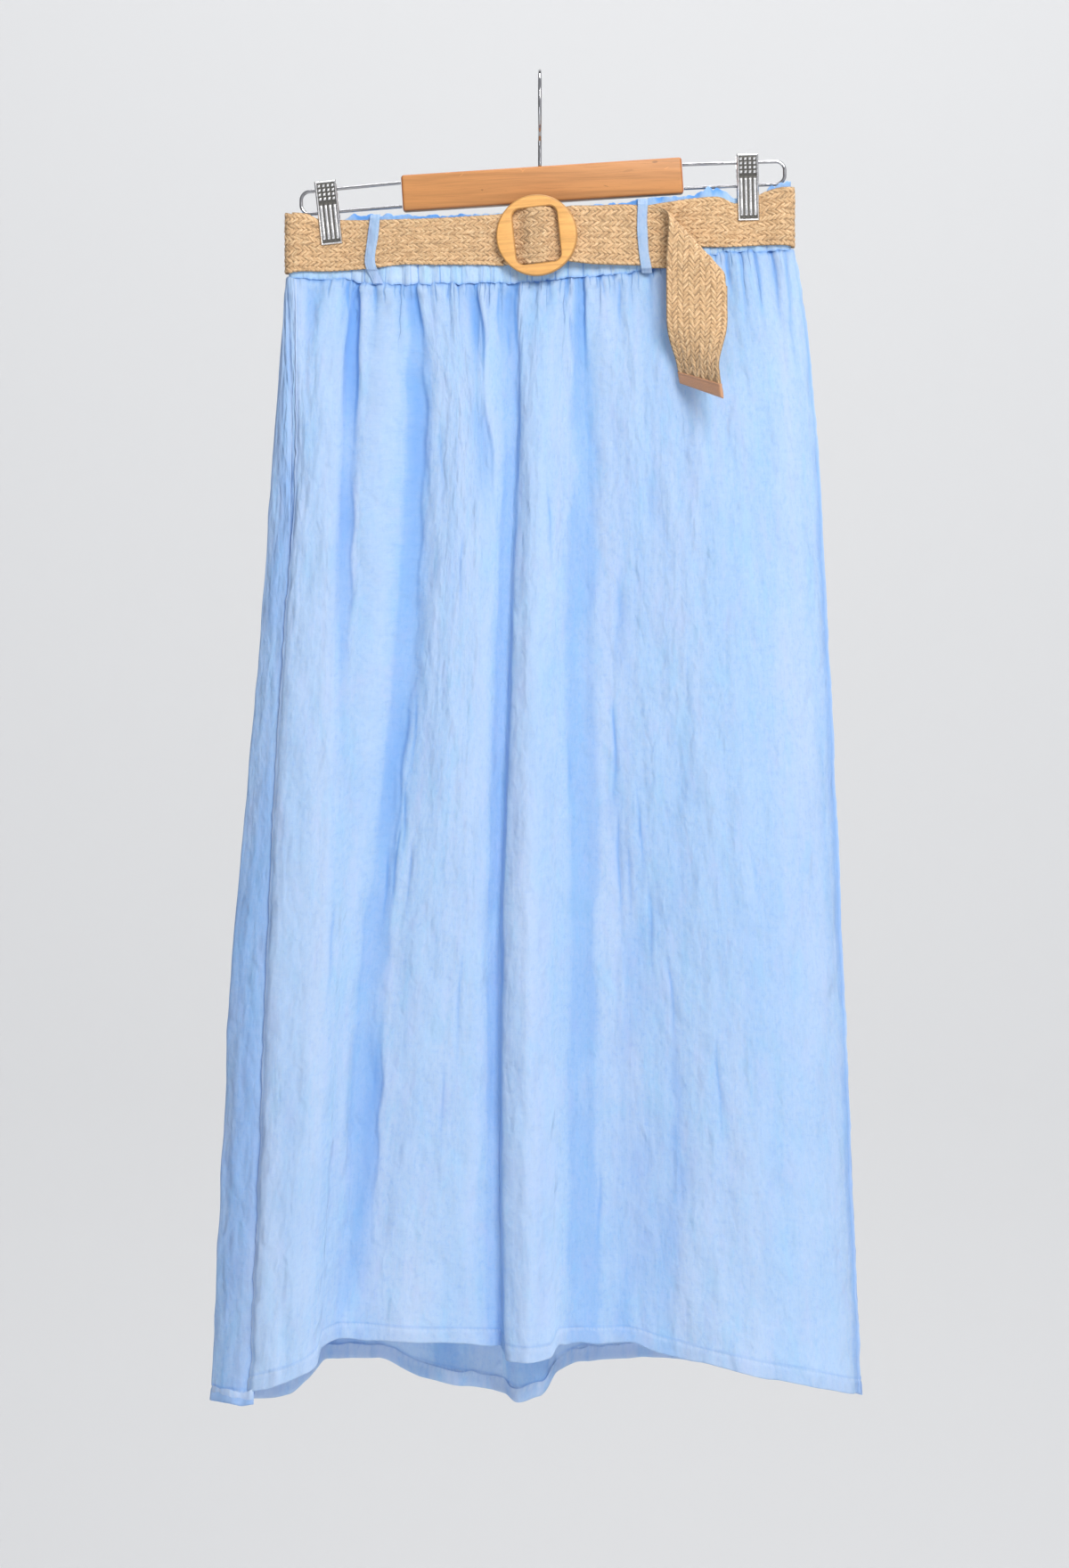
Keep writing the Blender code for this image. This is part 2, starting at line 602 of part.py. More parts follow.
def add_belt_round():
    """Belt from behind the buckle bar, right, round the back and up to the buckle's left rim."""
    rim = BELT_WALL / 2 + GAP
    bar_x = -5.0
    right_x = np.array((bar_x, 0.0, 5.0, 11.0, 18.0, *np.arange(27, 136, 9.0), *np.arange(138, 182, 3.0)))
    right_x = np.append(right_x, 181.0)
    right_y = -belt_depth(right_x)
    lift = ease(-right_x, -18.0, -bar_x)
    right_y = right_y * (1 - lift) + (buckle_plane(right_x) + rim) * lift
    reach = belt_depth(181.0)
    end = CASING_END + CASING_WALL / 2 + GAP + BELT_WALL / 2
    turn = np.radians(np.arange(-67.5, 68, 22.5))
    turn_x = 181.0 + (end - 181.0) * np.cos(turn)
    turn_y = reach * np.sin(turn)
    pinched = np.arange(180.0, 134.0, -3.0)
    back_x = np.concatenate((pinched, np.arange(123.0, -130.0, -12.3), -pinched[::-1]))
    left_x = np.concatenate((-181.0, *-pinched, *np.arange(-126, -38, 9.0), -34.0, -30.0, -26.3), axis=None)
    left_y = -belt_depth(left_x)
    lift = ease(left_x, -45.0, -27.0)
    left_y = left_y * (1 - lift) + (buckle_plane(left_x) + rim) * lift
    x = np.concatenate((right_x, turn_x, back_x, -turn_x, left_x))
    y = np.concatenate((right_y, turn_y, belt_depth(back_x), -turn_y, left_y))
    edges = []
    for column in (1, 2):
        z = [through(BELT_RIGHT, column, right_x), through(BELT_RIGHT, column, turn_x)]
        z += [through(BELT_BACK, column, back_x), through(BELT_BACK, column, -turn_x)]
        z.append(through(BELT_LEFT, column, left_x))
        edges.append(np.concatenate(z))
    grid = np.array([np.stack((x, y, z), axis=1) for z in edges])
    add_wall("belt_round", grid, BELT_WALL, "jute")


def free_end_point(x, down):
    """Point of the free end: x as if it lay straight, down from its top edge as a share of its width."""
    straight = min(x, FOLD_TOP[0])
    top = float(through(BELT_FREE, 1, straight))
    bottom = float(through(BELT_FREE, 2, straight))
    y = float(free_end_depth(straight))
    if x <= FOLD_TOP[0]:
        return (x, y, top + (bottom - top) * down)
    along, below = x - FOLD_TOP[0], down * STRAP_WIDTH
    cos, sin = math.cos(FOLD_ANGLE), math.sin(FOLD_ANGLE)
    past = along * sin - below * cos
    axis = along * cos + below * sin
    half_turn = math.pi * FOLD_RADIUS
    if past < 0:
        across, forward = past, 0.0
    elif past < half_turn:
        across = FOLD_RADIUS * math.sin(past / FOLD_RADIUS)
        forward = FOLD_RADIUS * (1 - math.cos(past / FOLD_RADIUS))
    else:
        across, forward = half_turn - past, 2 * FOLD_RADIUS
    px = FOLD_TOP[0] + axis * cos + across * sin
    pz = FOLD_TOP[1] - axis * sin + across * cos
    py = y - forward
    return hang(px, py, pz) if past > half_turn else (px, py, pz)


def hang(x, y, z):
    """Lets the part past the fold hang straight, then turn its right edge forward near the tip."""
    middle_x, middle_z = fall_middle()
    drop = max(0.0, middle_z - z)
    x += drop * math.tan(2 * FOLD_ANGLE - math.pi / 2)
    twist = FALL_TWIST * float(ease(drop, 36.0, 82.0))
    roll = FALL_ROLL * float(ease(drop, 60.0, 100.0))
    side = x - middle_x
    y -= 10.5 * float(ease(drop, 15.0, 85.0)) + side * math.sin(twist)
    z -= side * math.sin(roll)
    x = middle_x + side * math.cos(twist) + 3.5 * float(ease(drop, 75.0, 105.0))
    return (x, y, z)


def fall_middle():
    """x and z of the middle of the strap where it has turned over the fold."""
    half = STRAP_WIDTH / 2
    cos, sin = math.cos(FOLD_ANGLE), math.sin(FOLD_ANGLE)
    travel = half / sin + math.pi * FOLD_RADIUS * cos / sin
    return FOLD_TOP[0] + travel * cos, FOLD_TOP[1] - travel * sin


def free_end_depth(x):
    """y of the middle of the free end: behind the rims, over the bar, then on the belt beneath."""
    behind = BELT_WALL / 2 + GAP
    over = -(BAR_DEPTH + GAP + BELT_WALL / 2)
    local = np.array((-24.0, -14.5, -4.2, 4.2, 14.5, 27.0))
    offset = np.array((behind, behind, over, over, behind, behind))
    keys = BUCKLE_CENTRE[0] + local
    values = buckle_plane(keys) + offset
    rest_x = np.array((60.0, FOLD_TOP[0]))
    keys = np.append(keys, rest_x)
    values = np.append(values, -belt_depth(rest_x, 2))
    return cubic(keys, values, x)


def add_free_end():
    """Free end through the buckle and the right loop, folded over and hanging, with its tip."""
    tip_start = FREE_LENGTH - TIP_LENGTH
    stations = (
        *np.arange(-26.0, 15.0, 2.5),
        *np.arange(16.0, 78.0, 8.0),
        *np.arange(FOLD_TOP[0], 150.0, 3.6),
        *np.arange(155.0, tip_start - 3.0, 8.0),
        tip_start,
    )
    shares = np.linspace(0, 1, 5)
    grid = np.array([[free_end_point(x, s) for x in stations] for s in shares])
    add_wall("belt_free_end", grid, BELT_WALL, "jute")
    stations = np.linspace(tip_start + 2 * GAP, FREE_LENGTH, 3)
    grid = np.array([[free_end_point(x, s) for x in stations] for s in shares])
    add_wall("belt_tip", grid, TIP_WALL, "tan_leather")


def add_belt_loop(name, side, layers, x_top, x_upper, x_lower, x_bottom, width):
    """Narrow strip sewn to the casing's top edge and to the seam, standing off over the belt."""
    on_casing = CASING_WALL / 2 + 2 * GAP + LOOP_WALL / 2
    on_belt = on_casing + layers * (BELT_WALL + GAP) + GAP / 2
    belt = BELT_BACK if side > 0 else (BELT_LEFT if x_top < 0 else BELT_FREE)
    belt_top = float(through(belt, 1, x_top))
    belt_bottom = float(through(belt, 2, x_bottom))
    top = max(float(through(CASING_TOP, 1, x_top)) + 0.4, belt_top + 4.0)
    seam = min(float(through(WAIST_SEAM, 1, x_bottom)) + 0.6, belt_bottom - 4.5)
    keys_z = (seam, seam + (top - seam) / 3, top - (top - seam) / 3, top)
    stations = (
        (top, 0.0),
        (belt_top + 2.6, 0.35),
        (belt_top + 1.2, 1.0),
        (belt_top - 4.0, 1.0),
        ((belt_top + belt_bottom) / 2, 1.0),
        (belt_bottom + 4.0, 1.0),
        (belt_bottom - 1.2, 1.0),
        (belt_bottom - 2.8, 0.35 if layers == 1 else 0.6),
        (seam, 0.0 if layers == 1 else 0.3),
    )
    rows = []
    for z, out in stations:
        middle = float(cubic(keys_z, (x_bottom, x_lower, x_upper, x_top), z))
        across = np.array((middle - width / 2, middle, middle + width / 2))
        y = side * (waist_depth(across) + on_casing + (on_belt - on_casing) * out)
        rows.append(np.stack((across, y, np.full(3, z)), axis=1))
    add_wall(name, np.array(rows), LOOP_WALL, "linen")


def rounded_rectangle(half_width, half_height, corner, angle):
    """Distance from the middle of a rounded rectangle to its edge in a direction."""
    cos, sin = abs(math.cos(angle)), abs(math.sin(angle))
    inner_x, inner_y = half_width - corner, half_height - corner
    if cos > 1e-9 and half_width * sin / cos <= inner_y:
        return half_width / cos
    if sin > 1e-9 and half_height * cos / sin <= inner_x:
        return half_height / sin
    reach = inner_x * cos + inner_y * sin
    return reach + math.sqrt(reach**2 - inner_x**2 - inner_y**2 + corner**2)


def add_buckle():
    """Turned ring with a rounded slot and a bar across its back."""
    count = 44
    half_width, half_height, corner = BUCKLE_HOLE
    edge, wall = BUCKLE_EDGE, BUCKLE_WALL
    rings = (  # from the hole's edge or the rim, how far in, and how far back
        ("hole", edge, -wall),
        ("rim", -edge, -wall),
        ("rim", 0.0, edge - wall),
        ("rim", 0.0, -edge),
        ("rim", -edge, 0.0),
        ("hole", edge, 0.0),
        ("hole", 0.0, -edge),
        ("hole", 0.0, edge - wall),
    )
    bm = bmesh.new()
    loops = []
    for place, inset, y in rings:
        loop = []
        for i in range(count):
            angle = 2 * math.pi * (i + 0.5) / count
            radius = BUCKLE_RADIUS
            if place == "hole":
                radius = rounded_rectangle(half_width, half_height, corner, angle)
            radius += inset
            loop.append(bm.verts.new((radius * math.cos(angle), y, radius * math.sin(angle))))
        loops.append(loop)
    for a, b in zip(loops, loops[1:] + loops[:1]):
        for i in range(count):
            j = (i + 1) % count
            bm.faces.new((a[i], a[j], b[j], b[i]))
    ring = add_object("buckle", bm, "buckle_wood", sharp=50)
    bar = bmesh.new()
    bmesh.ops.create_cube(bar, size=1.0)
    size = (2 * BAR_HALF, BAR_DEPTH - 0.2, 2 * half_height + 4.0)
    place = Matrix.Translation((0.0, -(BAR_DEPTH + 0.2) / 2, 0.0)) @ Matrix.Diagonal((*size, 1.0))
    bmesh.ops.transform(bar, matrix=place, verts=bar.verts)
    cutter = add_object("buckle_bar", bar, "buckle_wood")
    cutter.hide_render = True
    cutter.display_type = "WIRE"
    join = ring.modifiers.new("bar", "BOOLEAN")
    join.operation = "UNION"
    join.object = cutter
    join.solver = "EXACT"
    turn = Matrix.Rotation(-BUCKLE_YAW, 4, "Z") @ Matrix.Rotation(-BUCKLE_ROLL, 4, "Y")
    seat = Matrix.Translation(Vector(BUCKLE_CENTRE) * MM) @ turn
    ring.matrix_world = seat
    cutter.matrix_world = seat


def add_block():
    """Wooden block of the hanger, with softened edges."""
    bm = bmesh.new()
    bmesh.ops.create_cube(bm, size=1.0)
    bmesh.ops.scale(bm, vec=BLOCK_SIZE, verts=bm.verts)
    block = add_object("hanger_block", bm, "block_wood", sharp=40)
    bevel = block.modifiers.new("edges", "BEVEL")
    bevel.width = BLOCK_EDGE * MM
    bevel.segments = 2
    block.location = Vector(BLOCK_CENTRE) * MM
    block.rotation_euler = (0.0, -BLOCK_TILT, 0.0)


def add_wire(name, points):
    """Round chrome wire along a line of points."""
    curve = bpy.data.curves.new(name, "CURVE")
    curve.dimensions = "3D"
    curve.bevel_depth = WIRE_RADIUS * MM
    curve.bevel_resolution = 2
    curve.use_fill_caps = True
    spline = curve.splines.new("POLY")
    spline.points.add(len(points) - 1)
    for point, place in zip(spline.points, points):
        point.co = (*(MM * c for c in place), 1.0)
    curve.materials.append(finish_material("chrome"))
    wire = bpy.data.objects.new(name, curve)
    bpy.context.scene.collection.objects.link(wire)


def rounded_path(corners, radius, steps):
    """Line through corners, with each inner corner rounded off."""
    corners = [np.array(c, float) for c in corners]
    path = [corners[0]]
    for before, corner, after in zip(corners, corners[1:], corners[2:]):
        into = (before - corner) / np.linalg.norm(before - corner)
        out = (after - corner) / np.linalg.norm(after - corner)
        half = math.acos(float(np.clip(into @ out, -1, 1))) / 2
        reach = radius / math.tan(half)
        bisector = (into + out) / np.linalg.norm(into + out)
        centre = corner + bisector * radius / math.sin(half)
        start, stop = corner + into * reach - centre, corner + out * reach - centre
        sweep = math.acos(float(np.clip(start @ stop / radius**2, -1, 1)))
        for k in range(steps + 1):
            t = k / steps
            mix = start * math.sin((1 - t) * sweep) + stop * math.sin(t * sweep)
            path.append(centre + mix / math.sin(sweep))
    path.append(corners[-1])
    return path


def add_hanger_wires():
    """The two wire loops let into the ends of the block, and the hook."""
    for name, x0, z0, x1, z1, x2, z2, x3, z3, end in WIRE_LOOPS:
        upper = z1 + (z1 - z0) / (x1 - x0) * (end - x1)
        lower = z3 + (z3 - z2) / (x3 - x2) * (end - x3)
        run = [(x0, 0, z0), (end, 0, upper), (end, 0, lower), (x2, 0, z2)]
        add_wire(name, rounded_path(run, FRAME_BEND, 5))
    centre_z = WIRE_RADIUS - HOOK_RADIUS
    block_top = BLOCK_CENTRE[2] + BLOCK_SIZE[2] / 2 / math.cos(BLOCK_TILT)
    block_top -= BLOCK_CENTRE[0] * math.tan(BLOCK_TILT)
    stem = [(0.0, 0.0, block_top + GAP + WIRE_RADIUS * math.tan(BLOCK_TILT)), (0.0, 0.0, STEM_BEND)]
    arc = []
    for k in range(27):
        angle = HOOK_START + (HOOK_STOP - HOOK_START) * k / 26
        arc.append((0.0, -HOOK_RADIUS * math.sin(angle), centre_z - HOOK_RADIUS * math.cos(angle)))
    middle = [(0.0, -1.2, -49.6), (0.0, -4.8, -46.1)]
    add_wire("hanger_hook", stem + middle + arc)


def clip_frame(x_top, z_top, x_bottom, z_bottom):
    """Length of a clip and the matrix from its own axes, with its jaw end at the origin."""
    length = math.hypot(x_top - x_bottom, z_top - z_bottom)
    lean = math.atan2(x_top - x_bottom, z_top - z_bottom)
    seat = Matrix.Translation((x_bottom, 0.0, z_bottom)) @ Matrix.Rotation(lean, 4, "Y")
    return length, seat


def add_clip_plate(name, side, length, seat, ribbed):
    """Sprung plate: flat on the belt below, leaning out above, ribbed on the outside."""
    half = CLIP_WIDTH / 2
    across = [-half, half]
    height = [0.0, 0.0]
    if ribbed:
        pitch = (CLIP_WIDTH - 3.0) / 4
        across, height = [-half, -half + 0.9], [CLIP_RIB, CLIP_RIB]
        for k in range(4):
            left = -half + 1.5 + k * pitch
            across += [left + 0.3, left + 0.9, left + pitch - 0.9, left + pitch - 0.3]
            height += [0.0, CLIP_RIB, CLIP_RIB, 0.0]
        across += [half - 0.9, half]
        height += [CLIP_RIB, CLIP_RIB]
    rows = (length, length - 1.2, length - 2.0, length * 0.66, length * 0.64, CLIP_JAW, 3.2, 2.4, 0.0)
    ribs_on = (1, 1, 0, 0, 1, 1, 1, 0, 0)
    if not ribbed:
        rows, ribs_on = (length, length * 0.64, CLIP_JAW, 0.0), (0, 0, 0, 0)
    mid = np.zeros((len(rows), len(across), 3))
    relief = np.zeros((len(rows), len(across)))
    for i, (up, on) in enumerate(zip(rows, ribs_on)):
        lean = CLIP_LEAN * float(ease(up, CLIP_JAW, length))
        for j, x in enumerate(across):
            place = seat @ Vector((x, side * (CLIP_FACE + CLIP_PLATE / 2 + lean), up))
            mid[i, j] = place
            border = ribbed and (j in (0, len(across) - 1) or i in (0, 1, len(rows) - 1))
            relief[i, j] = CLIP_RIB if border else height[j] * on
    normal = wall_normals(mid)
    if np.mean(normal[..., 1]) * side < 0:
        mid, relief = mid[:, ::-1], relief[:, ::-1]
    add_wall(name, mid, CLIP_PLATE, "chrome", relief=relief)


def add_clips():
    """Two sprung clips on the wire loops, each a front and a back plate and a spring."""
    for (name, x_top, z_top, x_bottom, z_bottom), loop in zip(CLIPS, WIRE_LOOPS):
        length, seat = clip_frame(x_top, z_top, x_bottom, z_bottom)
        add_clip_plate(f"{name}_front", -1, length, seat, True)
        add_clip_plate(f"{name}_back", 1, length, seat, False)
        x2, z2, x3, z3 = loop[5:9]
        middle_x = (x_top + x_bottom) / 2
        slope = math.atan2(z3 - z2, x3 - x2)
        middle_z = z2 + (middle_x - x2) * math.tan(slope)
        add_spring(f"{name}_spring", middle_x, middle_z, slope)


def add_spring(name, x, z, slope):
    """Coil and ears that the plates turn on: a thick ring round the lower wire, from plate to plate."""
    count = 16
    half = SPRING_LENGTH / 2
    outer = (CLIP_FACE - GAP, SPRING_HEIGHT)
    inner = (WIRE_RADIUS + GAP, WIRE_RADIUS + GAP)
    bm = bmesh.new()
    loops = []
    for (deep, high), along in ((outer, -half), (outer, half), (inner, half), (inner, -half)):
        loop = []
        for i in range(count):
            angle = 2 * math.pi * i / count
            loop.append(bm.verts.new((along, deep * math.cos(angle), high * math.sin(angle))))
        loops.append(loop)
    for a, b in zip(loops, loops[1:] + loops[:1]):
        for i in range(count):
            j = (i + 1) % count
            bm.faces.new((a[i], a[j], b[j], b[i]))
    spring = add_object(name, bm, "chrome", sharp=40)
    spring.location = Vector((x, 0.0, z)) * MM
    spring.rotation_euler = (0.0, -slope, 0.0)


def main():
    for obj in list(bpy.data.objects):
        bpy.data.objects.remove(obj)
    add_back_panel(add_front_panel())
    add_casings()
    add_belt_round()
    add_free_end()
    for row in BELT_LOOPS:
        add_belt_loop(*row)
    add_buckle()
    add_block()
    add_hanger_wires()
    add_clips()


main()
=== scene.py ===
"""Maxi skirt on a clip hanger: the pieces that show, laid out as a Blender add-on.

The cloth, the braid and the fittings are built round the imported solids, in one frame with them.
Tables and sizes are in millimetres, with X to the right, Y to the back and Z up from the hook's
inner top. Meshes are in metres.
"""

import math

import bmesh
import bpy
import numpy as np
from bpy.props import FloatProperty, FloatVectorProperty, IntProperty, PointerProperty
from mathutils import Matrix, Vector


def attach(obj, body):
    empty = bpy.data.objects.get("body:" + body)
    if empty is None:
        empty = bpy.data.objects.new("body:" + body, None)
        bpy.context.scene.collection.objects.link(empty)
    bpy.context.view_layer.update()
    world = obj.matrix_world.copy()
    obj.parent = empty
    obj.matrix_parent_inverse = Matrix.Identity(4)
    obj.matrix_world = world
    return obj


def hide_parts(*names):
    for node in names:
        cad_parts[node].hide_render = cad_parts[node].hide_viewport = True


bl_info = {
    "name": "Maxi Skirt on a Clip Hanger",
    "version": (1, 0, 0),
    "blender": (4, 5, 0),
    "location": "3D View > Sidebar > Skirt",
    "description": "Builds a gathered linen maxi skirt with a braided belt on its clip hanger",
    "category": "Object",
}

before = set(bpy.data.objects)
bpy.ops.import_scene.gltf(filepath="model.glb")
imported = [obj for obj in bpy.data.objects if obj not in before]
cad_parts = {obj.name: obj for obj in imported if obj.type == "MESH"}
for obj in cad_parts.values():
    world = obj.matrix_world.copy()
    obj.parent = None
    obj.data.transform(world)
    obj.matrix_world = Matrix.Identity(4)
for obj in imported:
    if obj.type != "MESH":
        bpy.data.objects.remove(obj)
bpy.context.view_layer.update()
MM = 0.001

# ---------------------------------------------------------------- sizes shared with the solids

GAP = 0.3  # between pieces that touch
CASING_WALL = 2.0
BELT_WALL = 2.4
LOOP_HALF = 0.75  # half of a belt loop's wall
CASING_END = 184.0  # half the width of the flattened casing
PANEL_END = 187.0  # the same on the panels just below it
WIRE_RADIUS = 1.3
WIRE_BEND = 6.5  # radius of the corners of the wire loops
HOOK_RADIUS = 23.7
HOOK_START = math.radians(25)  # from the bottom of the curl, towards the front
HOOK_STOP = math.radians(285)
BLOCK_SIZE = (206.0, 12.0, 26.6)
BLOCK_CENTRE = (1.8, 0.0, -82.2)
BLOCK_TILT = math.radians(3.7)
BUCKLE_RADIUS = 29.7
BUCKLE_WALL = 5.0
BUCKLE_HOLE = (16.5, 20.3, 6.0)  # half width, half height, corner radius
BUCKLE_CENTRE = (-2.0, -15.9, -121.4)  # middle of its back face
BUCKLE_ROLL = math.radians(6)
BUCKLE_YAW = math.radians(6)
BAR_DEPTH = 2.5
BELT_START = -5.0  # x where the belt is fixed on the buckle's bar
BUCKLE_LEFT = -26.0  # x where the belt comes to the buckle's left rim again
CLIP_HALF = 7.9  # half the width of a clip plate
CLIP_JAW = 23.0
CLIP_LEAN = 2.4  # how far the top stands out past the jaw
CLIP_FACE = 5.45  # from the middle of the waist to a plate's inner face, at the jaw
FOLD_TOP = (79.5, -100.5)  # x and z where the belt's fold leaves its top edge
FOLD_ANGLE = math.radians(47)
FOLD_RADIUS = 7.0
STRAP_WIDTH = 44.3
FALL_TWIST = math.radians(49)
FALL_ROLL = math.radians(14)
TIP_LENGTH = 10.5
FREE_LENGTH = 229.5  # x that the tip would reach if the strap lay straight

# x, half depth of the flattened waist
WAIST_DEPTH = (
    (-184, 0.15), (-183.3, 1.6), (-181.5, 2.7), (-178, 3.3), (-172, 3), (-163.5, 1.15), (-143.5, 1.15),
    (-120, 4.4), (-90, 7), (-40, 8.4), (40, 8.4), (90, 7), (120, 4.4), (143.5, 1.15), (162.5, 1.15),
    (172, 3), (178, 3.3), (181.5, 2.7), (183.3, 1.6), (184, 0.15),
)

# x, height of the seam between the casing and the panels
WAIST_SEAM = (
    (-187, -151), (-150, -151.5), (-115, -156), (-40, -155.6), (30, -151), (75, -146), (118, -136.2),
    (140, -131.6), (187, -130.6),
)

# x, height of the casing's top edge
CASING_TOP = (
    (-184, -104.5), (-176, -103.9), (-168, -105.6), (-162.8, -108.5), (-144, -108.5), (-138, -105.2),
    (-100, -105.8), (-45, -105.3), (20, -101.5), (67, -95.5), (84, -92.4), (110, -90.6), (127, -86.2),
    (136, -87.5), (143, -92.5), (163, -91.5), (168, -85.2), (176, -82.9), (184, -80.6),
)

# Front gathers: x on the seam, depth, and how far down the gather runs.
FRONT_GATHERS = (
    (-184.6, 0, 20), (-181.5, 0, 20), (-176, 0.3, 30), (-160.1, 1.3, 40), (-141, 1.3, 60),
    (-133.3, 1.6, 190), (-119.6, 1.9, 70), (-102.6, 2, 75), (-90.9, 1.9, 110), (-80.4, 1.8, 70),
    (-66.7, 1.6, 60), (-59.5, 1.3, 55), (-45.8, 1.8, 190), (-37.3, 1.4, 70), (-28.1, 1.5, 60),
    (-15.7, 1.8, 120), (-2.6, 1.4, 45), (6, 1.3, 55), (19.6, 1.8, 75), (31.4, 1.9, 120), (43.1, 1.7, 60),
    (54, 1.3, 45), (66, 1.5, 70), (80, 1.5, 60), (93, 1.5, 60), (106, 1.5, 55), (120.3, 1.2, 60),
    (128, 1, 50), (136.6, 1, 70), (147, 1.1, 60), (156.9, 1.3, 75), (169.3, 1.1, 70), (179.1, 0.6, 60),
    (187, 0, 20),
)

# Shares of the drop at which the fold tables give the form; the first is the seam.
LEVELS = (0.0, 0.12, 0.37, 0.68, 1.0)

# Front folds: gather number, x at the four lower levels, y at the same levels.
FRONT_FOLDS = (
    (0, -181.4, -186, -197.7, -208, -3, -4, -5, -6), (0.5, -180, -181, -191, -200, -4.8, -6.2, -8, -9.5),
    (1, -178.8, -184, -194.5, -204, -6.6, -8.8, -11.6, -14.2),
    (1.5, -177.6, -188.9, -200.7, -211, -8.4, -11.8, -15.8, -19.8),
    (2, -176, -187, -198.6, -208.6, -10.2, -15.3, -20.6, -26),
    (2.5, -172, -180.5, -191, -200, -12, -18.5, -24.6, -30.5),
    (3.5, -160, -163, -171, -183, -14.5, -21, -27.5, -33.5),
    (4.5, -147, -152, -158, -170, -13.5, -20.5, -26.5, -31.5),
    (5, -139.5, -145.5, -152.5, -165.5, -9, -17.5, -24, -28),
    (6.5, -115, -123, -140, -156, -13.5, -15.5, -18.5, -20.5),
    (8, -84, -96.5, -127, -146, -7.5, -9, -10.5, -12),
    (9, -72, -83, -112, -132, -12.5, -13.5, -13.5, -12.5),
    (11, -55, -63, -82, -98, -15.5, -19, -20, -18.5), (13, -38, -42, -50, -56, -14, -17, -18.5, -17.5),
    (15, -18, -24.5, -29.8, -27.8, -7, -8, -9, -11),
    (15.5, -13.5, -19.8, -26.3, -25.8, -12.5, -16, -20.5, -24),
    (16.5, -1, -5, -9, -9, -17.5, -23.5, -29, -34.5), (18, 13, 9, 7, 8, -13.5, -17.5, -22, -26),
    (19, 33, 35, 35, 33, -8.5, -11, -13, -14.5), (21, 55, 56, 56, 56, -12, -13, -13, -12),
    (23, 83, 87, 92, 92, -14.5, -17, -18, -18), (25, 111, 117, 125, 128, -16, -22, -26.5, -30),
    (27, 136, 144, 153, 160, -15.5, -22.5, -28.5, -33), (29, 158, 168, 178, 188, -13, -19, -25, -29),
    (31, 181, 192, 203, 213, -9, -13, -17, -20), (32, 192, 203.5, 214.5, 225.5, -5.5, -8, -10.5, -12.5),
    (33, 200, 212.4, 224.2, 235.2, -0.15, -0.15, -0.15, -0.15),
)

# x, height of the front hem
FRONT_HEM = (
    (-214, -965), (-204, -961.5), (-188, -957.5), (-174, -952), (-164, -944), (-159, -931),
    (-146, -926.5), (-100, -929), (-29, -931.5), (-26, -940), (-9, -942.5), (7, -940), (14, -929.5),
    (60, -929.5), (89, -936.5), (128, -945), (177, -955.5), (212, -963), (236, -969.5),
)

# Back folds: gather number, x at all five levels, share of the waist's depth, y at four levels.
BACK_FOLDS = (
    (0, -184.9, -181.7, -186.3, -198, -208.3, -1, -3, -4, -5, -6),
    (0.5, -185.7, -186.5, -194.5, -210, -222, -0.8, -2.8, -3.4, -4.2, -5),
    (1, -186.1, -191.3, -203.5, -223, -235.5, -0.4, -1.2, -1.4, -1.6, -2),
    (1.5, -186.3, -194.3, -208.7, -229.6, -242, 0, 1.4, 2.2, 3, 3.6),
    (2, -184.6, -190.5, -203.5, -224, -236, 0.8, 5.2, 7.5, 10.5, 12.5),
    (2.5, -178, -179.5, -188.5, -206, -217, 1, 9, 13, 19, 23),
    (4, -150, -155, -163, -175, -184, 1, 12, 18, 26, 31.5),
    (5.5, -120, -123, -129, -138, -145, 1, 10, 14, 18.5, 21),
    (7, -90, -92, -95, -99, -103, 1, 13.5, 20, 27.5, 32),
    (8.5, -60, -61, -62.5, -64, -65, 1, 11.5, 16, 21, 24),
    (10, -36, -36, -36, -36, -36, 1, 13.5, 19, 25.5, 29.5),
    (10.5, -26.5, -26, -26, -26.5, -27, 1, 11.5, 15, 18.5, 20),
    (11, -15, -15, -15, -15, -15, 1, 8.8, 10, 10.5, 10),
    (11.5, -1, -1, -1, -1, -0.5, 1, 9.6, 12, 13.5, 14), (12, 15, 15, 15, 15, 15, 1, 12.5, 17.5, 22.5, 26),
    (13.5, 45, 46, 48, 50, 52, 1, 14.5, 21.5, 29, 34), (15, 78, 80, 84, 88, 92, 1, 11.5, 16, 20.5, 23),
    (16.5, 110, 114, 121, 128, 134, 1, 14, 20.5, 28, 33),
    (18.5, 145, 151, 161, 170, 179, 1, 10.5, 14.5, 19, 22),
    (20, 167, 176, 188, 198, 208, 1, 9.5, 13.5, 17.5, 20.5),
    (21, 180, 191.5, 204, 215, 226, 1, 5, 7, 9, 11),
    (22, 187, 200, 212.4, 224.2, 235.2, 1, 0.15, 0.15, 0.15, 0.15),
)
BACK_GATHER_DEPTH = 1.7
BACK_GATHER_RUN = 75.0

# x, height of the back hem
BACK_HEM = (
    (-243, -974), (-211, -975.5), (-186, -973), (-172, -962), (-157, -946), (-121, -946.5), (-94, -958),
    (-46, -968), (-28, -972), (-16, -976), (0, -973), (14, -955), (36, -948), (89, -945.5), (140, -953),
    (190, -964), (236, -969.5),
)

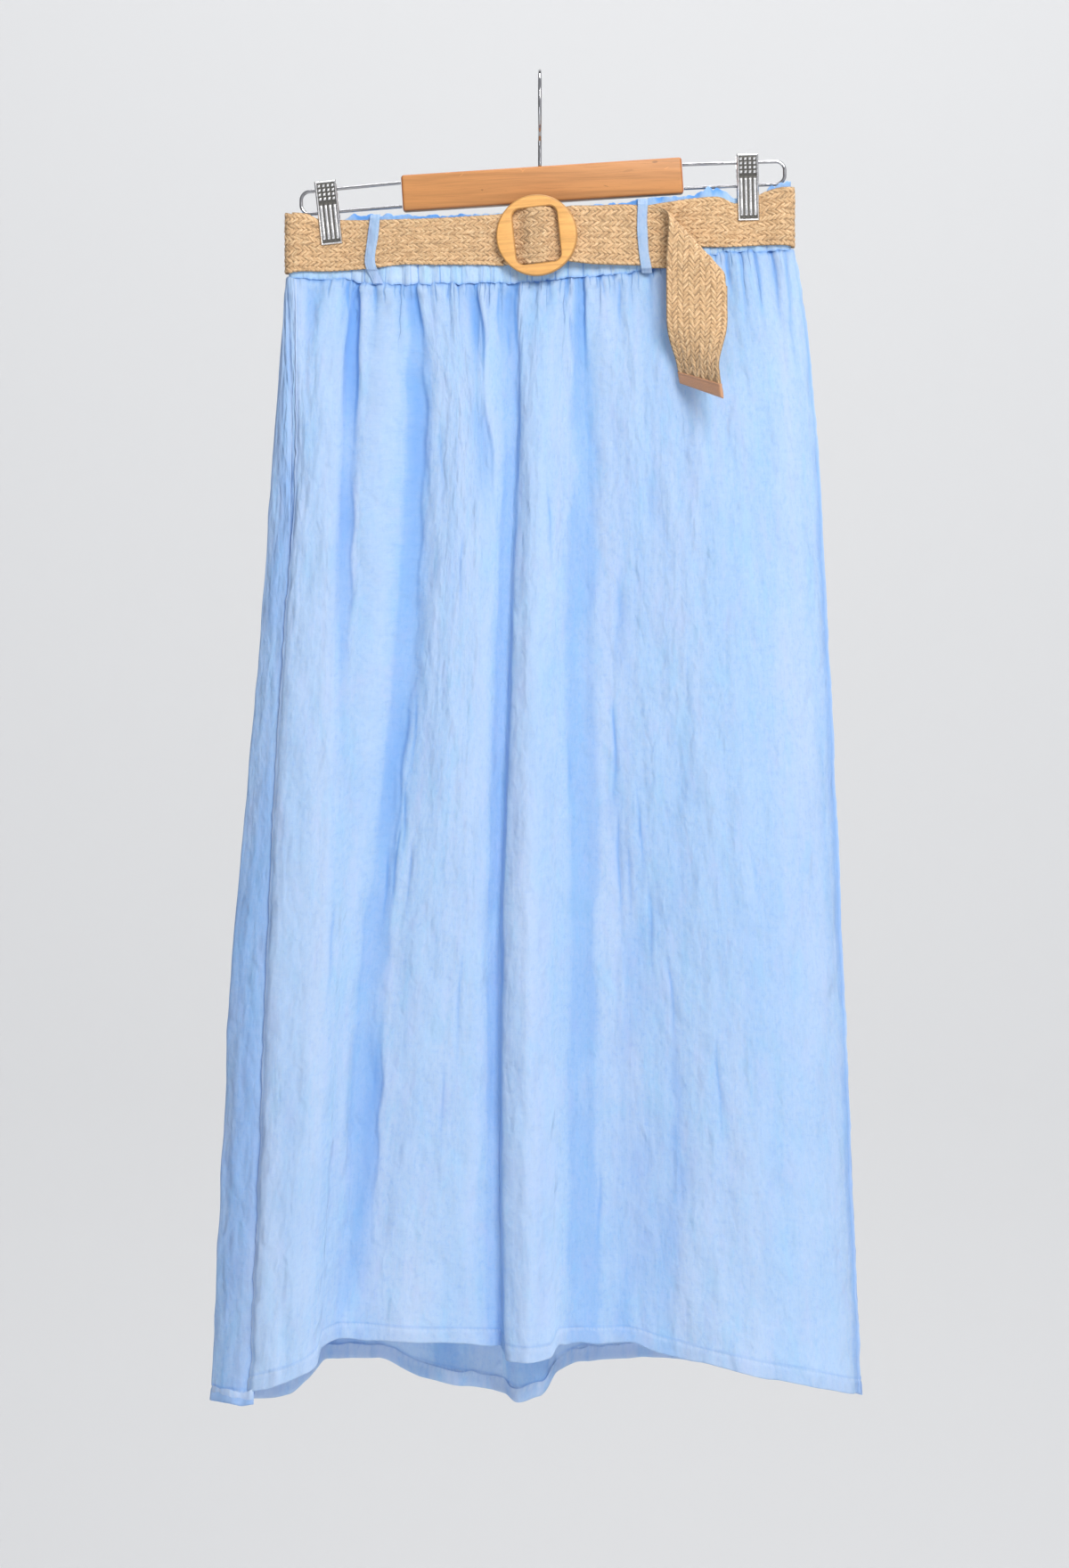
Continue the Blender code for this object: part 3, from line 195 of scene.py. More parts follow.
# The belt right of the buckle, behind, left of it and as the free end: x, top edge, bottom edge.
BELT_RIGHT = (
    (-5, -106.8, -139.8), (20, -105.5, -138.5), (60, -101.5, -135.5), (92.8, -96.1, -129.1),
    (112, -93.1, -128.7), (130, -91.5, -128.6), (143.8, -96.3, -128), (153, -95.4, -127.5),
    (164, -88.2, -127), (179, -84.4, -127), (187, -84.1, -128.5),
)
BELT_BACK = (
    (-187, -102.6, -147.4), (-165, -108.6, -148), (-120, -109.8, -150.5), (0, -105.5, -147),
    (110, -94.8, -133), (150, -95.6, -127.6), (187, -84.1, -128.5),
)
BELT_LEFT = (
    (-187, -102.6, -147.4), (-171, -103.9, -146.2), (-162, -107.6, -146.2), (-126, -108.7, -144.4),
    (-96, -108.4, -141.6), (-71, -107.5, -142.1), (-46, -106.2, -142.1), (-26, -104.7, -143.1),
)
BELT_FREE = (
    (-26, -105, -142.6), (-17, -102, -142.2), (-12, -101.1, -142.2), (-2, -100.6, -141.7),
    (8, -100.2, -140.6), (13, -101.2, -139.6), (24, -99.5, -140.6), (40, -99.3, -142.2),
    (61, -98.2, -142.6), (73, -98.8, -142.8), (79.5, -100.5, -143.8),
)

# Belt loops: name, side, layers beneath, x of the middle at four heights from the top down, width.
BELT_LOOPS = (
    ("belt_loop_front_left", -1, 1, -120.3, -122.2, -124.4, -118.3, 7.6),
    ("belt_loop_front_right", -1, 2, 75.4, 74.7, 75.6, 78.4, 7.4),
    ("belt_loop_back_left", 1, 1, -104.0, -104.3, -104.2, -103.6, 7.6),
    ("belt_loop_back_right", 1, 1, 98.0, 98.4, 98.3, 98.0, 7.6),
)

# Clips: name, x and z of the top, x and z of the bottom.
CLIPS = (
    ("clip_left", -157.3, -80.1, -152.3, -126.5),
    ("clip_right", 151.8, -60.3, 153.1, -109.1),
)

# Wire loops: name, x and z of two points on the upper wire and two on the lower, x of the end.
WIRE_LOOPS = (
    ("hanger_wire_left", -102.0, -80.6, -165.0, -86.7, -100.9, -97.9, -165.0, -103.2, -175.0),
    ("hanger_wire_right", 104.5, -67.3, 168.0, -65.2, 105.6, -84.7, 168.0, -81.9, 179.6),
)

# ---------------------------------------------------------------- sizes of the finer forms

HEM_STITCH = 10.2  # height of the hem's stitch line
HEM_TURN = ((-0.35, 0.35), (0.0, 0.8), (2.5, 1.2), (5.5, 1.6), (8.0, 1.8), (10.3, 1.9))  # up, inwards
SIDE_SEAM = 1.62  # gather number of the left side seam
CASING_COLUMNS = 1000
BRAID_ROWS = 11
BRAID_WIDTH = 44.0
STRAND_SIDES = 6
STUD_COLUMNS = (-4.95, -1.65, 1.65, 4.95)
STUD_PITCH = 3.15
STUD_TOP = 3.7  # from the first row of studs to the plate's top
RIBS_TOP = 17.0  # from the top of the ribs to the plate's top
RIM_STEPS = (0.0, 0.15, 0.4, 0.7, 0.9, 1.15, 1.5, 1.9)

# Main creases of the front: x and z of both ends, depth (under 0 a trough), width, bend.
FRONT_CREASES = (
    (-132.6, -153, -136.8, -300, -2.2, 2.2, 1), (-136.8, -270, -142, -470, -1.5, 4.5, 2),
    (-140.5, -153, -139, -182, -1.2, 1.8, -1), (-120, -157, -122.5, -176, -0.9, 2, 0.5),
    (-90.9, -155, -85, -210, -1.7, 2.6, 1), (-86, -195, -81, -330, -1.6, 5, 1),
    (-46.5, -155.5, -41, -240, -1.8, 2.4, 2.5), (-42, -225, -31, -345, -1.4, 4, 1.5),
    (-36, -300, -30, -420, 0.8, 3, 0), (-30, -158, -27, -205, -1, 2, -1.5),
    (-24, -186, -22.5, -216, -1, 1.7, 0.5), (-15.7, -153, -16.5, -215, -1.8, 2.3, -1.5),
    (-17, -205, -20, -420, -1.1, 4.5, 2), (-21, -400, -26, -640, -0.9, 6, -1),
    (-26.5, -600, -29, -760, -1, 5, 1), (6.5, -152, 8.5, -178, -0.8, 2, 0),
    (19.6, -150, 19, -171, -1.2, 1.8, 0.6), (32, -149, 33.5, -235, -1.5, 1.4, 0.4),
    (33.5, -225, 36, -330, -0.9, 3.5, 1), (43.5, -148.5, 48, -175, -0.8, 1.8, 1),
    (58, -153, 62, -200, -1, 2.6, -1.5), (20.5, -172, 24.5, -215, -0.9, 2, 1),
    (-66, -155, -67.5, -172, -0.9, 1.5, 0), (-106, -158, -113, -186, 0.7, 4, 0),
    (-58, -158, -63, -200, 0.6, 5, 0), (-74, -250, -71, -330, -0.7, 2.5, 1),
    (78, -240, 84, -420, -0.9, 7, 2), (58, -640, 60, -900, -0.8, 14, 2),
    (78, -560, 74, -900, -0.6, 10, -3), (96, -150, 104, -190, -0.7, 3, 1),
    (121, -136, 125, -170, -0.8, 2, 1), (137, -133, 141, -166, -1, 1.8, -1),
    (147.5, -133, 150, -200, -0.7, 2.6, 1), (157.5, -132, 163, -190, -1, 2.2, 1.5),
    (169.5, -131, 178, -200, -0.9, 2.6, 1), (180, -131, 190, -240, -0.8, 2.4, -1),
    (126, -225, 113, -420, -1.1, 8, 2), (113, -395, 99, -700, -1.2, 9, -3),
    (99, -670, 97, -905, -1.25, 7, 2), (52, -235, 60, -370, -1.2, 6, 2),
    (60, -360, 56, -450, -1.2, 5, -1), (-84, -250, -92, -445, -1.35, 4, 1),
    (-92, -430, -113, -690, -1.4, 4, -2), (-113, -670, -128, -905, -1.35, 5, 2),
    (204, -420, 214, -700, -1, 7, 1), (196, -300, 203, -520, -0.9, 6, -1),
    (208, -640, 220, -900, -1.1, 8, -1), (112, -180, 120, -420, 0.8, 9, 2),
    (140, -240, 155, -480, -0.8, 7, -3), (-150, -250, -160, -520, 0.7, 7, 2),
    (-168, -620, -176, -860, 0.8, 6, 1), (-110, -420, -128, -640, 0.8, 8, 2),
    (-60, -420, -72, -700, 0.9, 8, -2), (110, -470, 118, -760, -0.9, 8, 3),
    (40, -330, 44, -560, 0.8, 6, 1.5), (150, -560, 164, -640, -0.7, 4, 2),
    (-8, -560, -10, -880, 0.9, 6, 1), (-118, -700, -130, -800, -0.6, 4, 2),
    (-98, -515, -103, -590, -1.3, 1.8, 1.5), (-101, -540, -108, -620, -1.2, 1.6, -1),
    (-105, -500, -106, -575, 0.9, 1.7, 1), (-94, -560, -99, -625, -1, 1.5, 1.2),
    (-110, -560, -118, -640, -1.1, 1.7, 1), (-90, -450, -97, -535, -1.1, 2, 1.5),
    (53, -455, 54, -545, -1.2, 1.8, 1.5), (57, -535, 61, -640, -1.2, 1.7, -1.2),
    (64, -560, 66, -630, -1, 1.5, 1), (70, -520, 76, -610, -1, 1.7, 1.4),
    (80, -590, 84, -680, -1, 1.8, -1), (60, -640, 57, -720, 0.9, 1.9, 1),
    (92, -640, 99, -730, -0.9, 2, 1.5), (-56, -640, -60, -740, -0.9, 2, -1.5),
    (-70, -720, -74, -800, -0.8, 2.2, 1), (24, -470, 22, -560, -0.8, 2, -1),
    (5, -300, 9, -380, -0.8, 2.2, 1), (-55, -330, -58, -420, -0.8, 2, -1.5),
    (-150, -600, -158, -700, -0.8, 2.2, 1.5), (128, -700, 136, -800, -0.8, 2.2, -1.5),
    (44, -800, 40, -880, -0.8, 2.2, 1.5),
)

# The same for the back, seen from the front through it.
BACK_CREASES = (
    (-150, -156, -153, -260, 1.6, 3, 1), (-118, -160, -121, -300, 1.8, 3.5, -1.5),
    (-88, -160, -90, -230, -1.2, 3, 1), (-62, -158, -63, -330, 1.7, 4, 1.5),
    (-34, -157, -33, -240, -1, 2.6, 0.5), (-12, -156, -13, -380, 1.8, 3.5, -1),
    (14, -154, 14, -230, -1, 2.6, 1), (40, -152, 43, -290, 1.4, 3.6, 1), (74, -150, 79, -360, 1.7, 4, -2),
    (104, -145, 110, -240, -1.1, 3, 1), (139, -136, 148, -330, 1.6, 3.6, 1.5),
    (164, -134, 174, -260, 1.2, 3, -1), (-126, -420, -138, -820, 1.2, 9, 2),
    (-64, -440, -65, -880, 1.1, 10, -2), (86, -420, 90, -860, 1.3, 9, 2),
    (166, -430, 176, -820, 1.1, 9, -2), (-100, -380, -103, -640, -0.9, 8, 1),
    (46, -360, 52, -700, -1, 9, -1), (-230, -700, -236, -930, -0.9, 5, 1),
    (-214, -640, -226, -880, 0.8, 5, -1),
)

# Knots and scratches of the block: x, z, half width, half height, slant, and how dark or pale.
BLOCK_MARKS = (
    (84.3, -66, 2.6, 1.1, 0.1, 0.45), (48.4, -83.7, 2.2, 0.3, -0.3, 0.4), (-42.2, -86.7, 1, 0.8, 0, 0.5),
    (64.7, -72.5, 5, 1.2, 0.2, 0.8), (-13.6, -71.7, 2, 0.25, -0.9, 1.7),
    (-12, -72.4, 1.6, 0.25, 1.2, 1.7), (-57.5, -75.9, 1.8, 0.25, 0.8, 1.6),
    (-67.3, -73.9, 2.4, 0.3, 0.35, 1.6), (92.8, -70.6, 2.2, 0.25, 0.5, 1.6),
)


# ---------------------------------------------------------------- curves through the tables


def cubic(xs, ys, at):
    """Monotone cubic curve through the points, read at the values given."""
    xs = np.asarray(xs, float)
    ys = np.asarray(ys, float)
    at = np.clip(np.asarray(at, float), xs[0], xs[-1])
    step = np.diff(xs)
    slope = np.diff(ys) / step
    before, after = slope[:-1], slope[1:]
    same = before * after > 0
    total = np.where(same, before + after, 1.0)
    inner = np.where(same, 2 * before * after / total, 0.0)
    tangent = np.concatenate((slope[:1], inner, slope[-1:]))
    k = np.clip(np.searchsorted(xs, at, side="right") - 1, 0, len(step) - 1)
    t = (at - xs[k]) / step[k]
    value = ys[k] * (1 + 2 * t) * (1 - t) ** 2
    value += tangent[k] * step[k] * t * (1 - t) ** 2
    value += ys[k + 1] * t**2 * (3 - 2 * t)
    value += tangent[k + 1] * step[k] * t**2 * (t - 1)
    return value


def through(rows, column, at):
    """Smooth curve through a column of a table, against its first column."""
    table = np.array(rows)
    return cubic(table[:, 0], table[:, column], at)


def ease(value, start, stop):
    """0 before start, 1 after stop, smooth between."""
    t = np.clip((np.asarray(value, float) - start) / (stop - start), 0.0, 1.0)
    return t * t * (3 - 2 * t)


def bell(off, width):
    """1 in the middle, falling off to both sides over a width."""
    return np.exp(-((off / width) ** 2))


def fade(value, reach):
    """1 at nothing, falling straight to 0 at a reach."""
    return np.clip(1 - value / reach, 0, 1)


def hashed(i, j, seed):
    """Even random numbers from 0 to 1, the same for the same whole numbers."""
    value = np.sin(i * 127.1 + j * 311.7 + seed * 74.7) * 43758.5453
    return value - np.floor(value)


def cloud(a, b, seed):
    """Smooth noise from -1 to 1 over a plane, with features one unit across."""
    i, j = np.floor(a), np.floor(b)
    s, t = a - i, b - j
    s, t = s * s * (3 - 2 * s), t * t * (3 - 2 * t)
    low = hashed(i, j, seed) * (1 - s) + hashed(i + 1, j, seed) * s
    high = hashed(i, j + 1, seed) * (1 - s) + hashed(i + 1, j + 1, seed) * s
    return 2 * (low * (1 - t) + high * t) - 1


def ripple(a, seed):
    """Smooth noise from -1 to 1 along a line, with features one unit long."""
    return cloud(a, 0 * a, seed)


def waist_depth(x):
    """Half depth of the flattened waist at x, at the middle of the casing's wall."""
    return through(WAIST_DEPTH, 1, x)


def belt_depth(x, layer=1):
    """Distance from the middle of the waist to the middle of a layer of the belt."""
    clear = CASING_WALL / 2 + 0.6 + BELT_WALL / 2
    return waist_depth(x) + clear + (layer - 1) * (BELT_WALL + 0.45)


def buckle_plane(x):
    """y of the buckle's back face at x."""
    return BUCKLE_CENTRE[1] - (x - BUCKLE_CENTRE[0]) * math.tan(BUCKLE_YAW)


def unit(vectors):
    """The same vectors, one long."""
    return vectors / np.maximum(np.linalg.norm(vectors, axis=-1, keepdims=True), 1e-9)


def surface_normals(grid, front=0, at=None):
    """Unit normals of a grid of points; front -1 or 1 turns them that way along Y at one point."""
    normal = unit(np.cross(np.gradient(grid, axis=0), np.gradient(grid, axis=1)))
    row, column = at or (grid.shape[0] // 2, grid.shape[1] // 2)
    return -normal if normal[row, column, 1] * front < 0 else normal


# ---------------------------------------------------------------- meshes


def add_piece(name, mesh, material, sharp=None):
    """Smooth object of a mesh, riding on the body; edges over an angle in degrees stay sharp."""
    mesh.shade_smooth()
    if sharp:
        mesh.set_sharp_from_angle(angle=math.radians(sharp))
    mesh.materials.append(material)
    piece = bpy.data.objects.new(name, mesh)
    bpy.context.scene.collection.objects.link(piece)
    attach(piece, "root")
    return piece


def carved_piece(name, bm, centre, turn, material, sharp):
    """Object of an edit mesh in millimetres, turned and then moved to its centre."""
    seat = Matrix.Scale(MM, 4) @ (Matrix.Translation(Vector(centre)) @ turn)
    bmesh.ops.transform(bm, matrix=seat, verts=bm.verts)
    mesh = bpy.data.meshes.new(name)
    bm.to_mesh(mesh)
    bm.free()
    return add_piece(name, mesh, material, sharp)


def soup_mesh(name, points, faces, uv, material, layers=None, sharp=None):
    """Object from points and faces of one size, with UVs for each point and named layers of values."""
    mesh = bpy.data.meshes.new(name)
    mesh.vertices.add(len(points))
    mesh.vertices.foreach_set("co", (np.asarray(points) * MM).astype(np.float32).ravel())
    mesh.loops.add(faces.size)
    mesh.loops.foreach_set("vertex_index", faces.astype(np.int32).ravel())
    mesh.polygons.add(len(faces))
    mesh.polygons.foreach_set("loop_start", np.arange(0, faces.size, faces.shape[1], dtype=np.int32))
    mesh.update()
    mesh.validate()
    if uv is not None:
        corners = (np.asarray(uv) * MM)[faces.ravel()]
        mesh.uv_layers.new(name="cloth").data.foreach_set("uv", corners.astype(np.float32).ravel())
    for title, values in (layers or {}).items():
        attribute = mesh.attributes.new(title, "FLOAT", "POINT")
        attribute.data.foreach_set("value", np.asarray(values, np.float32).ravel())
    return add_piece(name, mesh, material, sharp)


def grid_mesh(name, grid, uv, material, layers=None):
    """Object from a grid of points in millimetres, with UVs in millimetres and named layers."""
    index = np.arange(grid.shape[0] * grid.shape[1]).reshape(grid.shape[:2])
    quads = np.stack((index[:-1, :-1], index[1:, :-1], index[1:, 1:], index[:-1, 1:]), axis=-1)
    return soup_mesh(name, grid.reshape(-1, 3), quads.reshape(-1, 4), uv.reshape(-1, 2), material, layers)


def closed_mesh(name, front, back, uv, material, layers=None, sharp=None):
    """Closed object of a front and a back grid of points, joined at the sides and squeezed at the ends."""
    grid = np.concatenate((front, back[:, ::-1]), axis=1)
    for row in (0, -1):
        grid[row] = (grid[row] + grid[row, ::-1]) / 2
    index = np.arange(grid.shape[0] * grid.shape[1]).reshape(grid.shape[:2])
    index = np.concatenate((index, index[:, :1]), axis=1)
    quads = np.stack((index[:-1, :-1], index[1:, :-1], index[1:, 1:], index[:-1, 1:]), axis=-1)
    if uv is None:
        uv = np.zeros((*grid.shape[:2], 2))
    piece = soup_mesh(name, grid.reshape(-1, 3), quads.reshape(-1, 4), uv.reshape(-1, 2), material, layers)
    bm = bmesh.new()
    bm.from_mesh(piece.data)
    bmesh.ops.remove_doubles(bm, verts=bm.verts, dist=1e-7)
    bmesh.ops.holes_fill(bm, edges=[e for e in bm.edges if e.is_boundary])
    bm.to_mesh(piece.data)
    bm.free()
    if sharp:
        piece.data.set_sharp_from_angle(angle=math.radians(sharp))
    return piece


def ring_quads(*shape):
    """Quads between rings of points that follow each other; the last size is the points of a ring."""
    index = np.arange(math.prod(shape)).reshape(shape)
    after = np.roll(index, -1, axis=-1)
    corners = (index[..., :-1, :], after[..., :-1, :], after[..., 1:, :], index[..., 1:, :])
    return np.stack(corners, axis=-1).reshape(-1, 4)


def tube(points, radius, sides):
    """Points and quads of a closed round tube along a line of points; radius is one size or one per point."""
    path = np.asarray(points, float)
    radius = np.broadcast_to(np.asarray(radius, float), len(path))
    tangent = unit(np.gradient(path, axis=0))
    across = np.cross(tangent[0], (0.31, 0.95, 0.11))
    angle = 2 * math.pi * np.arange(sides) / sides
    rings = [np.tile(path[0], (sides, 1))]
    for place, along, size in zip(path, tangent, radius):
        across = unit(across - along * (across @ along))
        turned = np.outer(np.cos(angle), across) + np.outer(np.sin(angle), np.cross(along, across))
        rings.append(place + size * turned)
    rings.append(np.tile(path[-1], (sides, 1)))
    return np.concatenate(rings), ring_quads(len(rings), sides)


def joined(parts):
    """Joins (points, faces) pairs into one pair."""
    points, faces, base = [], [], 0
    for p, f in parts:
        points.append(p)
        faces.append(f + base)
        base += len(p)
    return np.concatenate(points), np.concatenate(faces)


# ---------------------------------------------------------------- materials


class Nodes:
    """Short ways to add and join the nodes of a material."""

    def __init__(self, name):
        self.material = bpy.data.materials.new(name)
        self.material.use_nodes = True
        self.tree = self.material.node_tree
        self.shader = self.tree.nodes["Principled BSDF"]

    def add(self, kind, *inputs, **values):
        """A node with its settings made and its first inputs filled."""
        node = self.tree.nodes.new(kind)
        for key, value in values.items():
            setattr(node, key, value)
        for value, socket in zip(inputs, node.inputs):
            self.put(value, socket)
        return node

    def put(self, value, socket):
        """Joins a socket to the value, or sets the value where it is plain."""
        if isinstance(value, bpy.types.NodeSocket):
            self.tree.links.new(value, socket)
        elif isinstance(value, tuple) and len(value) == 3 and socket.type == "RGBA":
            socket.default_value = (*value, 1.0)
        elif value is not None:
            socket.default_value = value

    def maths(self, operation, a, b=None, c=None):
        return self.add("ShaderNodeMath", a, b, c, operation=operation).outputs[0]

    def times(self, a, b, plus=None):
        """a times b, and plus a third value where there is one."""
        return self.maths("MULTIPLY" if plus is None else "MULTIPLY_ADD", a, b, plus)

    def less(self, a, b):
        return self.maths("SUBTRACT", a, b)

    def from_whole(self, value):
        """Distance to the nearest whole number."""
        return self.maths("ABSOLUTE", self.less(value, self.maths("ROUND", value)))

    def uv(self):
        """Distances across and down the cloth in metres."""
        place = self.add("ShaderNodeUVMap", uv_map="cloth").outputs[0]
        return self.add("ShaderNodeSeparateXYZ", place).outputs[:2]

    def place(self):
        """x, y and z of the object in metres."""
        place = self.add("ShaderNodeTexCoord").outputs["Object"]
        return self.add("ShaderNodeSeparateXYZ", place).outputs[:]

    def noise(self, place, per_metre, detail=2.0, roughness=0.5, distortion=0.0):
        """Noise at a place, with so many features a metre along its axes."""
        spot = [v if by == 1.0 else self.times(v, by) for v, by in zip(place, (*per_metre, 1.0))]
        node = self.add("ShaderNodeTexNoise")
        self.put(self.add("ShaderNodeCombineXYZ", *spot).outputs[0], node.inputs["Vector"])
        sockets = {"Scale": 1.0, "Detail": detail, "Roughness": roughness, "Distortion": distortion}
        for key, value in sockets.items():
            node.inputs[key].default_value = value
        return node.outputs["Fac"]

    def line(self, value, sharpness):
        """Thin lines where a noise passes through its middle value."""
        off = self.maths("ABSOLUTE", self.times(value, sharpness, -0.5 * sharpness))
        return self.span(off, 1.0, 0.0)

    def attribute(self, title):
        return self.add("ShaderNodeAttribute", attribute_name=title).outputs["Fac"]

    def span(self, value, low, high, to_low=0.0, to_high=1.0):
        """A value's way from low to high, smooth, as a share or between two results."""
        node = self.add(
            "ShaderNodeMapRange", value, low, high, to_low, to_high, interpolation_type="SMOOTHSTEP"
        )
        return node.outputs[0]

    def mix(self, factor, a, b):
        node = self.add("ShaderNodeMix", factor, data_type="RGBA", blend_type="MIX")
        self.put(a, node.inputs[6])
        self.put(b, node.inputs[7])
        return node.outputs[2]

    def tinted(self, colour, *steps):
        """A colour with tones mixed in, one after the other: amount, share of it, tone."""
        for amount, share, tone in steps:
            colour = self.mix(self.times(amount, share), colour, tone)
        return colour

    def bump(self, height, distance, strength=1.0, under=None):
        node = self.add("ShaderNodeBump")
        sockets = {"Strength": strength, "Distance": distance, "Height": height, "Normal": under}
        for key, value in sockets.items():
            self.put(value, node.inputs[key])
        return node.outputs[0]

    def finish(self, colour, roughness, normal=None, metallic=0.0, through=0.0, **sockets):
        """Sets the shader, and lets a share of the light through; gives the material back."""
        self.put(colour, self.shader.inputs["Base Color"])
        self.put(roughness, self.shader.inputs["Roughness"])
        self.put(normal, self.shader.inputs["Normal"])
        self.shader.inputs["Metallic"].default_value = metallic
        for key, value in sockets.items():
            self.shader.inputs[key.replace("_", " ")].default_value = value
        if through:
            thin = self.add("ShaderNodeBsdfTranslucent", colour)
            self.put(normal, thin.inputs["Normal"])
            blend = self.add("ShaderNodeMixShader", through, self.shader.outputs[0], thin.outputs[0])
            self.put(blend.outputs[0], self.tree.nodes["Material Output"].inputs["Surface"])
        return self.material


def scaled(colour, factor=1.0):
    """A colour made lighter or darker, as a plain tuple."""
    return tuple(min(1.0, c * factor) for c in tuple(colour)[:3])


def linen_material(name, look, shade=1.0):
    """Washed plain-weave linen: fine threads, soft pale bands, fine creases. Deeper blue is painted as shade
    in the folds, creases, puckers and hollows, and paler blue as painted light on the crests and seam ridges;
    shade makes a lighter or darker copy, as painted light or shade.
    """
    if name in bpy.data.materials:
        return bpy.data.materials[name]
    n = Nodes(name)
    u, v = n.uv()
    warp = n.noise((u, v, 3.0), (850.0, 70.0), 3.0, 0.7)
    weft = n.noise((u, v, 11.0), (90.0, 850.0), 3.0, 0.7)
    mottle = n.noise((u, v, 29.0), (330.0, 210.0), 4.0, 0.75)
    tint = n.noise((u, v, 33.0), (70.0, 22.0), 4.0, 0.7)
    band = n.noise((u, v, 2.0), (26.0, 1.8), 3.0, 0.6)
    patch = n.noise((u, v, 21.0), (11.0, 5.0))
    long_line = n.line(n.noise((u, v, 5.0), (62.0, 9.0), 3.0, 0.5, 0.5), 7.0)
    short_line = n.line(n.noise((u, v, 9.0), (150.0, 26.0), 3.0, 0.55, 0.8), 5.0)
    where = n.span(patch, 0.44, 0.62, 0.12, 1.0)
    creased = n.times(n.times(long_line, 1.0, n.times(short_line, 0.6)), where)
    wobble = n.noise((u, v, 17.0), (60.0, 130.0))
    slant = n.noise((u, v, 19.0), (34.0, 26.0), 1.0)
    counted = n.times(wobble, 0.14, n.less(n.attribute("gather"), 0.32))
    counted = n.times(slant, 0.5, counted)
    # gather lines and short puckers: bumps in the relief, and painted shade in the colour below
    pinch = n.attribute("pinch")
    near = n.span(n.from_whole(counted), n.times(pinch, 0.05, 0.03), 0.0)
    gathered = n.times(near, n.span(pinch, 0.02, 0.4))
    between = n.from_whole(n.times(counted, 2.37))
    short = n.times(n.span(between, 0.17, 0.0), n.span(n.attribute("tight"), 0.05, 0.6))
    pulled = n.maths("MAXIMUM", gathered, short)
    hollow_shade_and_crest_light = n.attribute("hollow_shade_and_crest_light")
    pale, deep = scaled(look.pale_yarn_and_crest_light, shade), scaled(look.deep_yarn_and_shade, shade)
    light = scaled(pale, 1.08)
    colour = n.tinted(
        scaled(look.cloth_colour, shade),
        (n.span(band, 0.42, 0.68), look.pale_bands, pale),
        (n.span(warp, 0.52, 0.74), 0.22, light),
        (n.span(warp, 0.48, 0.28), 0.14, deep),
        (n.span(weft, 0.54, 0.74), 0.14, light),
        (n.span(weft, 0.46, 0.28), 0.1, deep),
        (n.span(mottle, 0.5, 0.68), 0.3, (0.64 * shade, 0.74 * shade, 0.95)),
        (n.span(mottle, 0.5, 0.34), 0.2, deep),
        (n.span(tint, 0.52, 0.66), 0.3, (0.57 * shade, 0.66 * shade, 0.94)),
        (n.span(tint, 0.48, 0.36), 0.3, (0.38 * shade, 0.685 * shade, 0.95)),
        # painted shade along the fine crease lines
        (creased, 0.07, deep),
        # paler on the seam ridges as painted highlight, and on the hem band and the turned hem's streaks
        (n.attribute("seam"), 0.55, (0.63 * shade, 0.74 * shade, 0.94)),
        # painted shade in the hollows, painted light on the crests
        (n.span(hollow_shade_and_crest_light, 0.0, 1.0), 0.34, deep),
        (n.span(hollow_shade_and_crest_light, 0.0, -1.0), 0.3, scaled(pale, 1.05)),
        # painted shade in the folds, the crease cores, the seam lines, the gather valleys and the short
        # puckers
        (n.attribute("fold"), 0.76, deep),
        (gathered, 0.28, deep),
        (short, 0.5, scaled(deep, 0.9)),
        (n.attribute("stitch"), 0.5, (0.66, 0.79, 0.96)),
    )
    normal = n.bump(n.times(warp, 1.0, weft), 0.00016, look.weave_relief)
    for height, distance in (
        (n.noise((u, v, 41.0), (140.0, 85.0), 1.5, 0.45, 0.4), 0.002),
        (n.noise((u, v, 43.0), (190.0, 30.0), 0.6, 0.4, 0.4), 0.0007),
        (n.noise((u, v, 47.0), (66.0, 26.0), 1.2, 0.4, 0.5), 0.0044),
        (n.times(pulled, 1.0, n.times(creased, 0.22)), -0.0008),
    ):
        normal = n.bump(height, distance, look.crinkle_relief, normal)
    sheen = {"Sheen_Weight": 0.2, "Sheen_Roughness": 0.5, "Sheen_Tint": (0.82, 0.88, 1.0, 1.0)}
    return n.finish(colour, 0.9, normal, through=look.see_through, Specular_IOR_Level=0.15, **sheen)


def jute_material(look):
    """Twisted plant fibre: light and dark strands, fibres along each strand, and painted shade where strands
    dip under their neighbours and on their far sides.
    """
    if "jute_braid" in bpy.data.materials:
        return bpy.data.materials["jute_braid"]
    n = Nodes("jute_braid")
    u, v = n.uv()
    tone = n.attribute("tone")
    offset = n.times(tone, 40.0)
    fibre = n.noise((u, v, offset), (330.0, 2100.0), 3.0, 0.7)
    blotch = n.noise((u, v, offset), (90.0, 90.0))
    dark = scaled(look.belt_dark_fibre_and_shade)
    colour = n.tinted(
        n.mix(n.span(tone, 0.0, 1.0), scaled(look.belt_colour, 0.88), scaled(look.belt_colour, 1.08)),
        (n.span(fibre, 0.5, 0.66), 0.85, scaled(look.belt_light)),
        (n.span(fibre, 0.47, 0.33), 0.6, dark),
        (n.span(blotch, 0.5, 0.3), 0.25, dark),
        # painted shade where strands dip under and on their far sides
        (n.attribute("depth"), 0.26, dark),
    )
    return n.finish(colour, 0.85, n.bump(fibre, 0.0004, 0.8), Sheen_Weight=0.15, Specular_IOR_Level=0.15)


